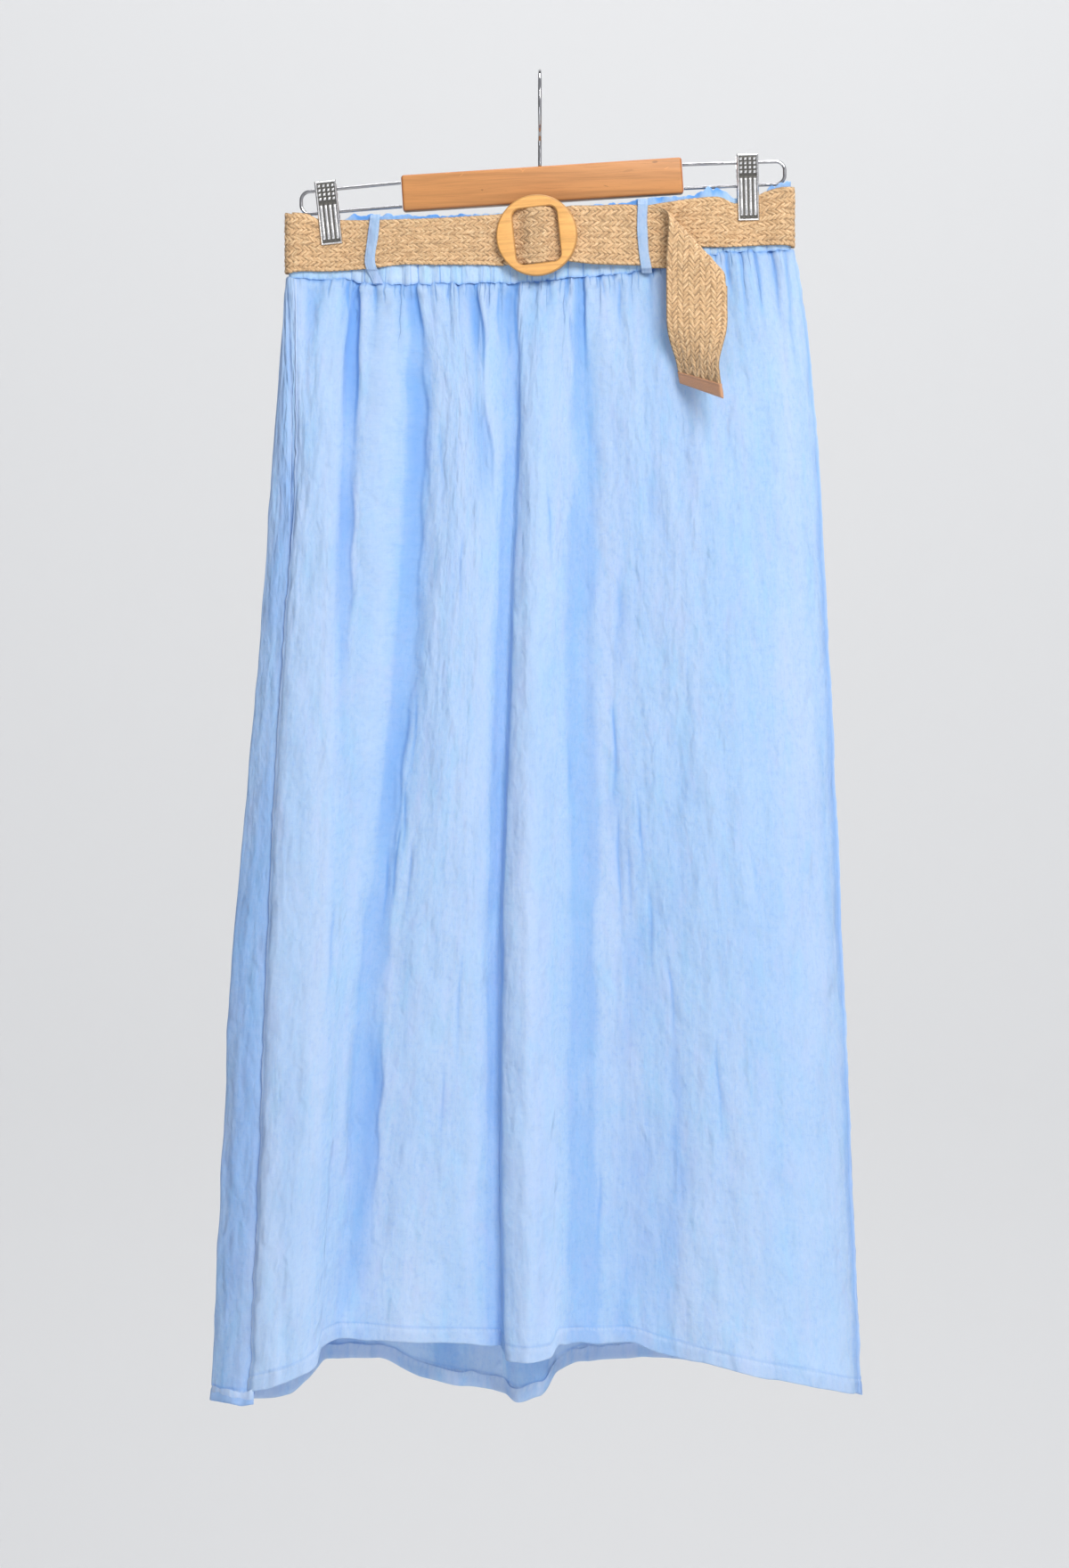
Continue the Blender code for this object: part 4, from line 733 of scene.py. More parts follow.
def wood_material(name, colour, spread, edge=None, marks=()):
    """Varnished close-grained wood, with the grain along X: fine lines, soft figure, a few short pores, the
    marks given, and painted shade in the edge colour on rounded edges.
    """
    n = Nodes(name)
    x, y, z = n.place()
    lean = n.times(x, -0.04, z)
    sway = n.noise((x, y, z), (9.0, 30.0, 30.0))
    across = n.times(sway, 0.006, lean)
    figure = n.noise((x, y, across), (8.0, 60.0, 260.0 * spread), 3.0, 0.55)
    fine = n.noise((x, y, across), (40.0, 1200.0, 1700.0), 3.0, 0.6)
    pore = n.noise((x, y, across), (150.0, 2500.0, 2600.0), 1.0)
    shade = n.tinted(
        n.mix(n.span(figure, 0.32, 0.68), scaled(colour, 0.84), scaled(colour, 1.08)),
        (n.span(fine, 0.5, 0.28), 0.3, scaled(colour, 0.55)),
        (n.span(fine, 0.52, 0.72), 0.22, scaled(colour, 1.25)),
        (n.span(pore, 0.33, 0.24), 0.35, scaled(colour, 0.4)),
    )
    for mark_x, mark_z, half_width, half_height, slant, tone in marks:
        beside = n.less(x, mark_x * MM)
        off_x = n.maths("DIVIDE", beside, half_width * MM)
        off_z = n.maths("DIVIDE", n.times(beside, -slant, n.less(z, mark_z * MM)), half_height * MM)
        square = n.times(off_x, off_x, n.times(off_z, off_z))
        shade = n.tinted(shade, (n.span(square, 1.0, 0.2), 0.7, scaled(colour, tone)))
    # painted shade: the rounded edges take the darker edge colour
    if edge is not None:
        shade = n.tinted(shade, (n.span(n.attribute("edge"), 0.2, 1.0), 0.8, edge))
    normal = n.bump(n.times(fine, 0.6, figure), 0.0001, 0.4)
    varnish = {"Coat_Weight": 0.15, "Coat_Roughness": 0.3, "Specular_IOR_Level": 0.35}
    return n.finish(shade, n.span(fine, 0.3, 0.7, 0.5, 0.38), normal, **varnish)


def chrome_material(name="chrome_plate", bright=(0.95, 0.95, 0.96), metallic=0.86, least=0.2):
    """Bright plated steel with faint streaks and a few matt specks. Recesses are painted near black as shade
    and made rougher; below full metal the white base adds painted brightness that stands in for reflections.
    """
    if name in bpy.data.materials:
        return bpy.data.materials[name]
    n = Nodes(name)
    place = n.place()
    smear = n.noise(place, (220.0,) * 3, 3.0, 0.6)
    speck = n.noise(place, (1500.0,) * 3, 1.0)
    # painted shade: the recesses between rim, ribs and studs darkened to near black, and rougher
    shaded_recess = n.span(n.attribute("recess"), 0.35, 0.8)
    specks = (n.span(speck, 0.36, 0.28), 0.5, (0.45, 0.43, 0.41))
    colour = n.tinted(bright, specks, (shaded_recess, 0.95, (0.085, 0.08, 0.07)))
    rough = n.times(shaded_recess, 0.3, n.span(smear, 0.35, 0.7, least, least + 0.14))
    return n.finish(colour, rough, n.bump(smear, 0.00003, 0.4), metallic)


def wire_material():
    """The same plating on round wire, in a darker grey as painted shade for the darker reflections of round
    wire.
    """
    return chrome_material("chrome_wire", (0.5, 0.5, 0.52), 1.0, 0.1)


def plain_material(name, colour, roughness, grain=900.0, relief=0.0001):
    """Matt material with a slight grain in its colour and relief, for the belt's core and its tip."""
    if name in bpy.data.materials:
        return bpy.data.materials[name]
    n = Nodes(name)
    place = n.place()
    fine = n.noise(place, (grain,) * 3, 3.0, 0.6)
    soft = n.noise(place, (grain / 12,) * 3)
    shade = n.mix(n.span(fine, 0.3, 0.7), scaled(colour, 0.93), scaled(colour, 1.06))
    shade = n.tinted(shade, (n.span(soft, 0.4, 0.7), 0.4, scaled(colour, 1.1)))
    return n.finish(shade, roughness, n.bump(fine, relief, 0.6))


# ---------------------------------------------------------------- cloth panels


def panel_depth(x, pucker):
    """Half depth of the gathered panels on the seam, wide enough for their puckers."""
    clear = 0.85 + pucker
    return np.maximum(waist_depth(x * CASING_END / PANEL_END), clear * np.minimum(1, pucker / 0.5))


def panel_rows(fine_top, middle, hem):
    """Shares of the drop at which a panel has rows, closer at the gathers and at the hem."""
    top = np.linspace(0, 0.10, fine_top, endpoint=False)
    body = np.linspace(0.10, 0.968, middle, endpoint=False)
    return np.concatenate((top, body, np.linspace(0.968, 1.0, hem)))


def cloth_lines(grid):
    """Distances across and down the cloth in millimetres, for its threads."""
    lines = np.zeros((*grid.shape[:2], 2))
    widest = grid[int(grid.shape[0] * 0.75)]
    lines[:, 1:, 0] = np.cumsum(np.linalg.norm(np.diff(widest, axis=0), axis=1))
    step = np.linalg.norm(np.diff(grid, axis=0), axis=2).mean(axis=1)
    lines[1:, :, 1] = np.cumsum(step)[:, None]
    return lines * (1, -1)


def scallop(gathers, depth, wide, narrow):
    """Small rises and falls of the seam line between the gathers."""
    lift = wide * ripple(gathers * 2.6, 35) + narrow * ripple(gathers * 6.1, 36)
    return lift * np.minimum(depth, 1.0)


def crease_relief(px, pz, creases):
    """Height of the creases at each point, and how much painted shade goes into the cores of the narrow ones
    and onto the long slopes.

    The deep ones have a long slope on the left that ends in a sharp crest.
    """
    height = np.zeros_like(px)
    tint = np.zeros_like(px)
    for x0, z0, x1, z1, depth, width, bend in creases:
        length = math.hypot(x1 - x0, z1 - z0)
        ax, az = (x1 - x0) / length, (z1 - z0) / length
        along = (px - x0) * ax + (pz - z0) * az
        share = along / length
        waver = 0.25 * width * np.sin(along / 9.0 + x0) * ease(share, 0.0, 0.2)
        bow = bend * np.sin(math.pi * np.clip(share, 0, 1))
        off = (px - x0) * -az + (pz - z0) * ax - bow - waver
        start = ease(share, -0.03, 0.05 if z0 > -165 else 0.3)
        taper = start * (1 - ease(share, 0.3, 1.03))
        width_here = width * (0.7 + 0.6 * np.clip(share, 0, 1))
        part = depth * taper * bell(off, width_here)
        slope = 0.0
        if depth < -1.3:
            run_in = 3.0 + 0.8 * width_here
            slope = taper * bell(off + run_in, 1.1 * run_in) * (1 - ease(off, -0.6, 0.8))
            part = 0.4 * part - 0.75 * depth * taper * bell(off - 1.6, 2.0 + 3.5 * (off > 1.6))
        height += part + 1.15 * depth * slope
        core = bell(off, 0.5 * np.minimum(width_here, 2.4))
        # painted shade: the cores of the narrow creases and the long left slopes
        tint += max(0.0, -depth) * (taper * core * min(1.0, (2.6 / width) ** 2) + 0.6 * slope)
    return height, tint


def dress_panel(name, grid, gathers, depth, run, drop, hem_z, front, look, creases, seam_edges):
    """Adds creases, puckers, crinkles, the turned hem and stitches to a panel's form, with layers of painted
    shade and painted light for its linen, and makes its mesh.

    A cloud is given by its size across and down in millimetres and its seed, and its heights are in
    millimetres too. Gathers, depth and run have one value a column; drop and to_hem one a point.
    """
    normal = surface_normals(grid, front)
    uv = cloth_lines(grid)
    across, down = uv[..., 0], -uv[..., 1]
    lively = np.minimum(depth, 1.0)
    grid = grid.copy()
    grid[..., 2] += scallop(gathers, depth, 0.75, 0.35) * np.exp(-drop / 7.0)
    to_hem = grid[..., 2] - hem_z
    placed, tint = crease_relief(grid[..., 0], grid[..., 2], creases)

    def field(wide, high, seed, shift=0.0):
        return cloud(across / wide + shift, down / high, seed)

    # crinkles and broad waves of the cloth
    below = ease(drop, 2.0, 14.0)
    calm = ease(drop, 40.0, 150.0)
    drift = 0.9 * field(34.0, 60.0, 8)
    patch = 0.16 + 0.95 * ease(field(42.0, 110.0, 14), 0.0, 0.6)
    if front > 0:
        patch = patch * (0.2 + 0.8 * ease(gathers, 1.6, 3.2))
    sway = 0.8 * field(19.0, 23.0, 6)
    fine = 0.42 * field(10.5, 70.0, 3, drift)
    fine += 0.17 * cloud(across / 5.6 + 1.6 * drift + 0.5 * sway, down / 12.0, 5)
    fine += 0.24 * cloud((across + 0.4 * down) / 7.0 + drift, (down - 0.4 * across) / 20.0, 27) * calm
    broad = 0.9 * field(40.0, 210.0, 12, 0.4 * drift) * calm
    broad = broad + (0.55 * field(17.0, 34.0, 28) + 0.3 * field(8.0, 13.0, 30)) * below
    broad = broad + 0.8 * field(13.0, 75.0, 52, 0.5 * drift) * below * (1 - 0.55 * calm)

    # grooves of the gathers, and the puffs and knots where they are sewn in
    number = np.round(gathers)
    off = np.abs(gathers - number)
    strength = 0.1 + 0.9 * hashed(number, 0, 17) ** 1.6
    reach = np.minimum(run, 90.0) * (0.3 + 0.4 * hashed(number, 0, 19)) + 4.0
    groove = bell(off, 0.09) * fade(drop, reach) ** 0.8 * (np.minimum(depth, 1.6) / 1.6 * strength)
    pinch = fade(drop, reach) ** 0.7 * (np.minimum(depth, 1.5) / 1.5 * strength)
    sewn_in = ease(depth, 0.0, 0.35)
    uneven = 0.55 + 0.6 * cloud(gathers * 1.3 + 0 * drop, drop / 9.0, 24)
    puffed = (bell(drop - 4.0, 3.6) * 0.6 * uneven - bell(drop, 1.3) * 0.9) * lively
    knots = 0.75 * cloud(gathers * 3.1 + 0.02 * drop, drop / 5.5, 23) * fade(drop, 26.0) * lively
    knots = knots + 0.45 * cloud(gathers * 6.3, drop / 3.2, 25) * fade(drop, 11.0) * lively
    knots = knots + 0.7 * cloud(across / 6.0, drop / 6.0, 61) * fade(drop, 17.0) * sewn_in
    relief = placed * look.crease_depth + below * patch * fine * look.crinkle_depth
    relief = relief + broad - 1.1 * groove + puffed + knots
    # painted shade: the crease cores and slopes, a ragged dark line where the gathers are sewn in, and the
    # gather valleys
    ragged = 0.3 + 0.7 * ease(ripple(gathers * 5.3, 44), -0.5, 0.5)
    fold = np.clip(tint / 1.5, 0, 1) * 0.95 + 0.8 * ragged * bell(drop, 1.5) * sewn_in
    fold = np.clip(fold + 0.3 * bell(off, 0.2) * fade(drop, 1.7 * reach) * lively, 0, 1)
    # short puckers at the seam, which the linen darkens as painted shade
    small = np.round(gathers * 2.37)
    firm = 0.15 + 0.85 * hashed(small, 0, 53) ** 1.4
    tight = fade(drop, 5.0 + 13.0 * hashed(small, 0, 29)) ** 0.6 * lively * firm

    # side seams: a ridge with a groove beside it, and the cloth pulled towards it; painted shade in a line
    # beside the ridge, the ridge paler as painted highlight, and faintly paler out to about 10 mm
    seam = np.zeros_like(fold)
    for column, width in seam_edges:
        near = np.abs(across - across[:, [column]])
        ridge = bell(near, 1.3) * (0.9 + 0.25 * ripple(down / 3.1, 26))
        pulled = 0.35 + 0.65 * ease(ripple(down / 60.0, 38), -0.4, 0.4) + 1.1 * ease(-to_hem, -90.0, -10.0)
        pull = 0.5 * cloud(down / 7.0 + near / 12.0, near / 26.0, 18)
        pull += 0.25 * cloud(down / 3.4, near / 7.0, 39)
        relief = relief + (ridge + bell(near, width) * pulled * pull) * ease(drop, 4.0, 18.0)
        fold = np.maximum(fold, 0.3 * bell(near - 2.4, 0.8))
        seam = np.maximum(seam, bell(near, 0.9) + 0.3 * (1 - ease(near, 8.0, 14.0)))

    # hem: a groove on the stitch line, a lumpy band below it and a wavy edge; painted shade along the stitch
    # line and a paler band
    sewn = HEM_STITCH + 0.5 * ripple(across / 15.0, 54)
    relief = relief - (0.6 + 0.25 * ripple(across / 5.0, 55)) * bell(to_hem - sewn, 0.9)
    band = ease(-to_hem, -13.0, -9.5)
    relief = relief + band * (0.35 + 0.6 * cloud(across / 6.5 + to_hem / 14.0, to_hem / 16.0, 21))
    relief = relief + ease(-to_hem, -34.0, -8.0) * 1.3 * cloud(across / 16.0, to_hem / 60.0, 56)
    grid[..., 2] += 1.0 * ripple(across / 13.0, 57) * ease(-to_hem, -11.0, 0.0)
    fold = np.maximum(fold, 0.34 * bell(to_hem - sewn - 1.5, 1.0))
    seam = np.maximum(seam, 0.3 * band)
    dashes = (np.sin(across * 2 * math.pi / 2.6) > -0.35) * bell(to_hem - sewn, 0.7)
    grid = grid + normal * relief[..., None]

    # how far each point lies behind those around it: painted shade in the hollows, painted light on the
    # crests
    padded = np.pad(grid[..., 1], ((0, 0), (20, 21)), mode="edge").cumsum(axis=1)
    around = (padded[:, 41:] - padded[:, :-41]) / 41
    hollow_shade_and_crest_light = np.clip(-front * (grid[..., 1] - around) / 2.1, -1, 1)
    hollow_shade_and_crest_light = hollow_shade_and_crest_light * (0.55 + 0.75 * ease(field(15.0, 55.0, 59), -0.6, 0.6))

    # the top edge tucked in, the hem turned up inside with its overlock
    rows = [grid[:1] - normal[:1] * 0.9 + np.array((0.0, 0.0, 1.6)), grid]
    lines = [uv[:1], uv]
    edge = across[-1]
    overlock = []
    for k, (rise, inward) in enumerate(HEM_TURN):
        wavy = rise * (1 + 0.12 * ripple(edge / 7.0, 47))
        rows.append((grid[-1] - normal[-1] * inward + np.outer(wavy, (0, 0, 1)))[None])
        lines.append(uv[-1:] - (0.0, (k + 1) * 2.0))
        overlock.append((k > 3) * (0.25 + 0.75 * (np.sin(edge * 2 * math.pi / 2.4 + k) > 0)))
    bare = np.zeros((len(HEM_TURN), len(edge)))
    streaks = bare + np.clip(0.6 + 0.9 * ripple(edge / 3.0, 58), 0, 1)
    layers = {
        title: np.concatenate((values[:1], values, turned))
        for title, values, turned in (
            ("stitch", dashes, overlock),
            ("fold", fold, bare),
            ("pinch", pinch, bare),
            ("gather", np.broadcast_to(gathers, fold.shape), bare),
            ("hollow_shade_and_crest_light", hollow_shade_and_crest_light, bare),
            ("tight", tight, bare),
            ("seam", seam, streaks),
        )
    }
    linen = linen_material("linen_blue", look)
    return grid_mesh(name, np.concatenate(rows), np.concatenate(lines), linen, layers)


def panel_form(folds, gathers, waist_x, waist_y, depth, run, side, hem, rows, flat):
    """Smooth form of a panel from its fold table: points, drop below the seam, and the hem's height."""
    number, *levels = np.array(folds).T
    levels_x = np.array([waist_x] + [cubic(number, level, gathers) for level in levels[:4]])
    levels_y = np.array([waist_y] + [cubic(number, level, gathers) for level in levels[4:]])
    seam_z = through(WAIST_SEAM, 1, waist_x) - 0.1
    hem_z = through(hem, 1, levels_x[-1])
    grid = np.zeros((len(rows), len(gathers), 3))
    for c in range(len(gathers)):
        grid[:, c, 0] = cubic(LEVELS, levels_x[:, c], rows)
        grid[:, c, 1] = cubic(LEVELS, levels_y[:, c], rows)
    drop = rows[:, None] * (seam_z - hem_z)
    pinched = 1 - 2 * np.abs(np.sin(math.pi * gathers)) ** (0.72 - 0.3 * flat)
    grid[..., 1] -= side * depth * pinched * fade(drop, run) ** (1.5 + flat) * (1 - 0.42 * flat)
    grid[..., 2] = seam_z - drop
    return grid, drop, hem_z


def make_front_panel(look):
    """Front panel with its gathers, the lip at the left seam and the sharp fold right of the middle."""
    spots, depths, runs = np.array(FRONT_GATHERS).T
    number = np.arange(len(spots))
    gathers = np.linspace(0, number[-1], look.panel_columns)
    waist_x = cubic(number, spots, gathers)
    depth = np.interp(gathers, number, depths)
    run = np.interp(gathers, number, runs)
    rows = panel_rows(52, 150, 22)
    waist_y = -panel_depth(waist_x, depth)
    grid, drop, hem_z = panel_form(
        FRONT_FOLDS, gathers, waist_x, waist_y, depth, run, -1, FRONT_HEM, rows, 1.0
    )
    upper = cubic(LEVELS, (0.0, 4.5, 2.5, 0.0, 0.0), rows)
    grid[..., 1] -= upper[:, None] * fade(gathers, 1.5)
    seams = ((int(SIDE_SEAM / number[-1] * look.panel_columns), 9.0), (-1, 12.0))
    panel = dress_panel(
        "panel_front", grid, gathers, depth, run, drop, hem_z, -1, look, FRONT_CREASES, seams
    )
    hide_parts("skirt_front")


def make_back_panel(look):
    """Back panel: it comes round the left side to the front's edge and hangs lower behind."""
    folds = np.array(BACK_FOLDS)
    gathers = np.linspace(0, folds[-1, 0], look.back_columns)
    waist_x = cubic(folds[:, 0], folds[:, 1], gathers)
    ends = ease(gathers, 2.0, 3.5) * ease(-gathers, -21.8, -20.5)
    depth = BACK_GATHER_DEPTH * ends * (0.8 + 0.2 * np.sin(2.4 * gathers))
    run = BACK_GATHER_RUN * (1 + 0.35 * np.sin(1.7 * gathers + 1.0))
    waist_y = cubic(folds[:, 0], folds[:, 6], gathers) * panel_depth(waist_x, depth)
    lower = np.delete(folds, (1, 6), axis=1)
    rows = panel_rows(40, 120, 22)
    grid, drop, hem_z = panel_form(lower, gathers, waist_x, waist_y, depth, run, 1, BACK_HEM, rows, 0.4)
    marks = (0.0, 0.1, 0.3, 0.5, 0.75, 1.0, 1.25, 1.5)
    reach = np.interp(gathers, marks, (0.85, 0.93, 0.9, 0.76, 0.5, 0.26, 0.1, 0.0))
    gap = cubic(LEVELS, (0.0, 5.3, 8.0, 11.3, 14.5), rows)
    grid[..., 1] -= gap[:, None] * reach
    curl = ease(-(grid[..., 2] - hem_z), -17.0, 0.0) * (1 - ease(gathers, 1.55, 2.1))
    curl = curl * (0.85 + 0.3 * ripple(gathers * 3.0, 46))
    grid[..., 1] -= 6.5 * curl**1.5
    grid[..., 2] += 2.5 * curl**2
    seams = ((0, 8.0), (-1, 12.0))
    panel = dress_panel("panel_back", grid, gathers, depth, run, drop, hem_z, 1, look, BACK_CREASES, seams)
    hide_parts("skirt_back")


# ---------------------------------------------------------------- waist casing


def shirring(x, share, side):
    """Narrow creases down the casing at uneven distances, one row for each share of its height."""
    lines = np.zeros((len(share), len(x)))
    spot, k = -CASING_END, 0
    while spot < CASING_END:
        spot += 3.0 + 13.0 * float(hashed(k, side, 37))
        lean = 2.4 * (float(hashed(k, side, 38)) - 0.5)
        deep = 0.35 + 0.65 * float(hashed(k, side, 39))
        path = spot + lean * share + 0.5 * np.sin(share * 5 + k)
        lines += deep * bell(x - path[:, None], 0.42)
        k += 1
    return lines


def make_casing(look, side):
    """Half of the elastic casing: a lumpy ruffle on top, a strip with narrow creases below the belt; painted
    shade in the creases, at the seam and on the ruffle, and a lighter linen as painted light.
    """
    x = np.linspace(-CASING_END, CASING_END, CASING_COLUMNS)
    spots, depths, _ = np.array(FRONT_GATHERS).T
    number = np.interp(x * PANEL_END / CASING_END, spots, np.arange(len(spots)))
    depth = np.interp(number, np.arange(len(spots)), depths)
    top = through(CASING_TOP, 1, x)
    seam = through(WAIST_SEAM, 1, x) + 0.1
    left, right = (BELT_BACK, BELT_BACK) if side > 0 else (BELT_LEFT, BELT_RIGHT)
    belt_top, belt_bottom = (
        np.where(x < BUCKLE_LEFT, through(left, column, x), through(right, column, x)) for column in (1, 2)
    )
    frill = ease(x, -146.0, -132.0) * ease(-x, -142.0, -128.0) + ease(abs(x), 163.0, 170.0)
    frill = frill * ease(top - belt_top, -0.8, 1.6)
    strip = ease(x, -150.0, -136.0) * ease(-x, -182.0, -160.0) * ease(belt_bottom - seam, 0.5, 4.0)
    lumps = np.abs(ripple(x / 6.5, 31)) * 2.0 + np.abs(ripple(x / 3.4, 32)) * 1.0 - 0.9
    wave = cloud(x / 5.5, 0.0 * x + 0.4, 33)
    share = np.concatenate((np.linspace(0, 0.16, 10, endpoint=False), np.linspace(0.16, 1.0, 24)))
    lines = shirring(x, share, side)
    s = share[:, None]
    near_top = 1 - ease(s, 0.0, 0.16)
    near_seam = ease(s, 0.4, 0.75)
    shirr = strip * near_seam * (0.35 * cloud(x / 4.2, s + 0.0 * x, 34) - 0.75 * lines)
    pucker = -0.45 * depth * strip * (1 - 2 * np.abs(np.sin(math.pi * number)) ** 0.7) * near_seam**2
    wall = CASING_WALL / 2 - 0.25 * near_top - 0.9 * ease(s, 0.93, 1.0)
    outer = np.zeros((len(share), len(x), 3))
    outer[..., 0] = x
    outer[..., 1] = side * (waist_depth(x) + wall + frill * near_top * 1.9 * wave + shirr + pucker)
    outer[..., 2] = (top + frill * lumps * 1.25) * (1 - s) + seam * s
    outer[..., 2] += scallop(number, depth, 0.9, 0.5) * ease(s, 0.72, 1.0)
    # painted shade: darker in the shirring creases, in the rows at the seam and on the ruffle's top
    fold = np.clip(strip * near_seam * lines * 0.95 + 0.75 * ease(s, 0.97, 1.0), 0, 1)
    fold += (0.62 + 0.9 * ease(-wave, -0.3, 0.5)) * near_top * frill
    inner = np.concatenate((outer[::-1][: len(share) : 4], outer[:1]))
    inner[..., 1] -= side * (CASING_WALL - GAP)
    crest = outer[:1] + np.array((0.0, -side * 0.8, 0.35))
    grid = np.concatenate((inner, crest, outer))
    fold = np.concatenate((np.zeros((len(inner) + 1, len(x))), fold))
    uv = np.stack((np.broadcast_to(x * 1.6, grid.shape[:2]), grid[..., 2]), axis=-1)
    name = "waist_front" if side < 0 else "waist_back"
    # painted light: the casing uses a lighter copy of the linen, lifting the shade under the belt
    casing = grid_mesh(name, grid, uv, linen_material("linen_waist", look, 1.12), {"fold": fold})
    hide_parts("casing_front" if side < 0 else "casing_back")


def make_loop(look, name, side, layers, x_top, x_upper, x_lower, x_bottom, width):
    """Belt loop: a folded strip with a stitch line near each edge, sewn at top and bottom."""
    on_casing = CASING_WALL / 2 + 0.6 + LOOP_HALF
    lift = layers * (BELT_WALL + GAP) + 0.15
    belt = BELT_BACK if side > 0 else (BELT_LEFT if x_top < 0 else BELT_FREE)
    belt_top = float(through(belt, 1, x_top))
    belt_bottom = float(through(belt, 2, x_bottom))
    top = max(float(through(CASING_TOP, 1, x_top)) + 0.4, belt_top + 4.0)
    seam = min(float(through(WAIST_SEAM, 1, x_bottom)) + 0.6, belt_bottom - 4.5)
    z = np.linspace(top, seam, 90)
    third = (top - seam) / 3
    middle = cubic((seam, seam + third, top - third, top), (x_bottom, x_lower, x_upper, x_top), z)
    foot, heel = (0.0, 0.35) if layers == 1 else (0.3, 0.6)
    keys = [seam, *(belt_bottom + step for step in (-2.8, -1.2, 4.0))]
    keys += [*(belt_top + step for step in (-4.0, 1.2, 2.6)), top]
    out = cubic(keys, (foot, heel, 1.0, 1.0, 1.0, 1.0, 0.35, 0.0), z)
    u = np.linspace(-1, 1, 23)
    from_stitch = np.abs(u) - 0.72
    sheets = []
    for face in (1, -1):
        across = middle[:, None] + u * face * width / 2 * (1 + 0.03 * np.sin(z / 4.0))[:, None]
        bulge = LOOP_HALF * np.sqrt(np.clip(1 - np.abs(u) ** 6, 0, 1)) * face
        groove = -0.35 * bell(from_stitch, 0.09) * (face > 0)
        wrinkle = 0.16 * cloud(across / 3.0, z[:, None] / 5.0, 41) * (face > 0)
        y = side * (waist_depth(across) + on_casing + lift * out[:, None] + bulge + groove + wrinkle)
        sheets.append(np.stack((across, y, np.broadcast_to(z[:, None], across.shape)), axis=-1))
    grid = np.concatenate(sheets, axis=1)
    mark = bell(from_stitch, 0.07) * (np.sin(z * 2 * math.pi / 2.7) > -0.2)[:, None]
    stitch = np.concatenate((mark, 0 * mark), axis=1)
    # painted shade: the loops use a darker copy of the linen
    linen = linen_material("linen_loops", look, 0.93)
    loop = grid_mesh(name, grid, grid[..., (0, 2)], linen, {"stitch": stitch})
    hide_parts(name.replace("loop", "belt_loop", 1))


# ---------------------------------------------------------------- braided belt


def belt_round_line():
    """Line of the belt round the waist: points x, y, and the top and bottom edge heights."""
    rim = BELT_WALL / 2 + GAP
    bend_x = CASING_END - 3.0
    right_x = np.linspace(BELT_START, bend_x, 120)
    left_x = np.linspace(-bend_x, BUCKLE_LEFT - GAP, 100)
    back_x = np.linspace(bend_x, -bend_x, 200)
    turn = np.radians(np.linspace(-82.0, 82.0, 17))
    end = CASING_END + CASING_WALL / 2 + GAP + BELT_WALL / 2
    turn_x = bend_x + (end - bend_x) * np.cos(turn)
    turn_y = belt_depth(bend_x) * np.sin(turn)
    beside = []
    for x, lift in ((right_x, ease(-right_x, -18.0, -BELT_START)), (left_x, ease(left_x, -45.0, -27.0))):
        beside.append(-belt_depth(x) * (1 - lift) + (buckle_plane(x) + rim) * lift)
    y = np.concatenate((beside[0], turn_y, belt_depth(back_x), -turn_y, beside[1]))
    tables = (BELT_RIGHT, BELT_RIGHT, BELT_BACK, BELT_BACK, BELT_LEFT)
    parts = (right_x, turn_x, back_x, -turn_x, left_x)
    top, bottom = (
        np.concatenate([through(table, column, part) for table, part in zip(tables, parts)])
        for column in (1, 2)
    )
    return np.concatenate(parts), y, top, bottom


def strip_surface(middle_points, normals):
    """Reader of a strip: turns distances along it and shares down it into points and unit normals."""
    steps = np.linalg.norm(np.diff(middle_points[:, middle_points.shape[1] // 2], axis=0), axis=1)
    travel = np.concatenate(([0.0], np.cumsum(steps)))
    shares = np.linspace(0, 1, middle_points.shape[1])

    def between(keys, value):
        k = np.clip(np.searchsorted(keys, value, side="right") - 1, 0, len(keys) - 2)
        return k, ((value - keys[k]) / (keys[k + 1] - keys[k]))[..., None]

    def read(along, share):
        i, s = between(travel, along)
        j, t = between(shares, share)
        values = []
        for field in (middle_points, normals):
            near = field[i, j] * (1 - t) + field[i, j + 1] * t
            far = field[i + 1, j] * (1 - t) + field[i + 1, j + 1] * t
            values.append(near * (1 - s) + far * s)
        return values[0], unit(values[1])

    return read, travel[-1]


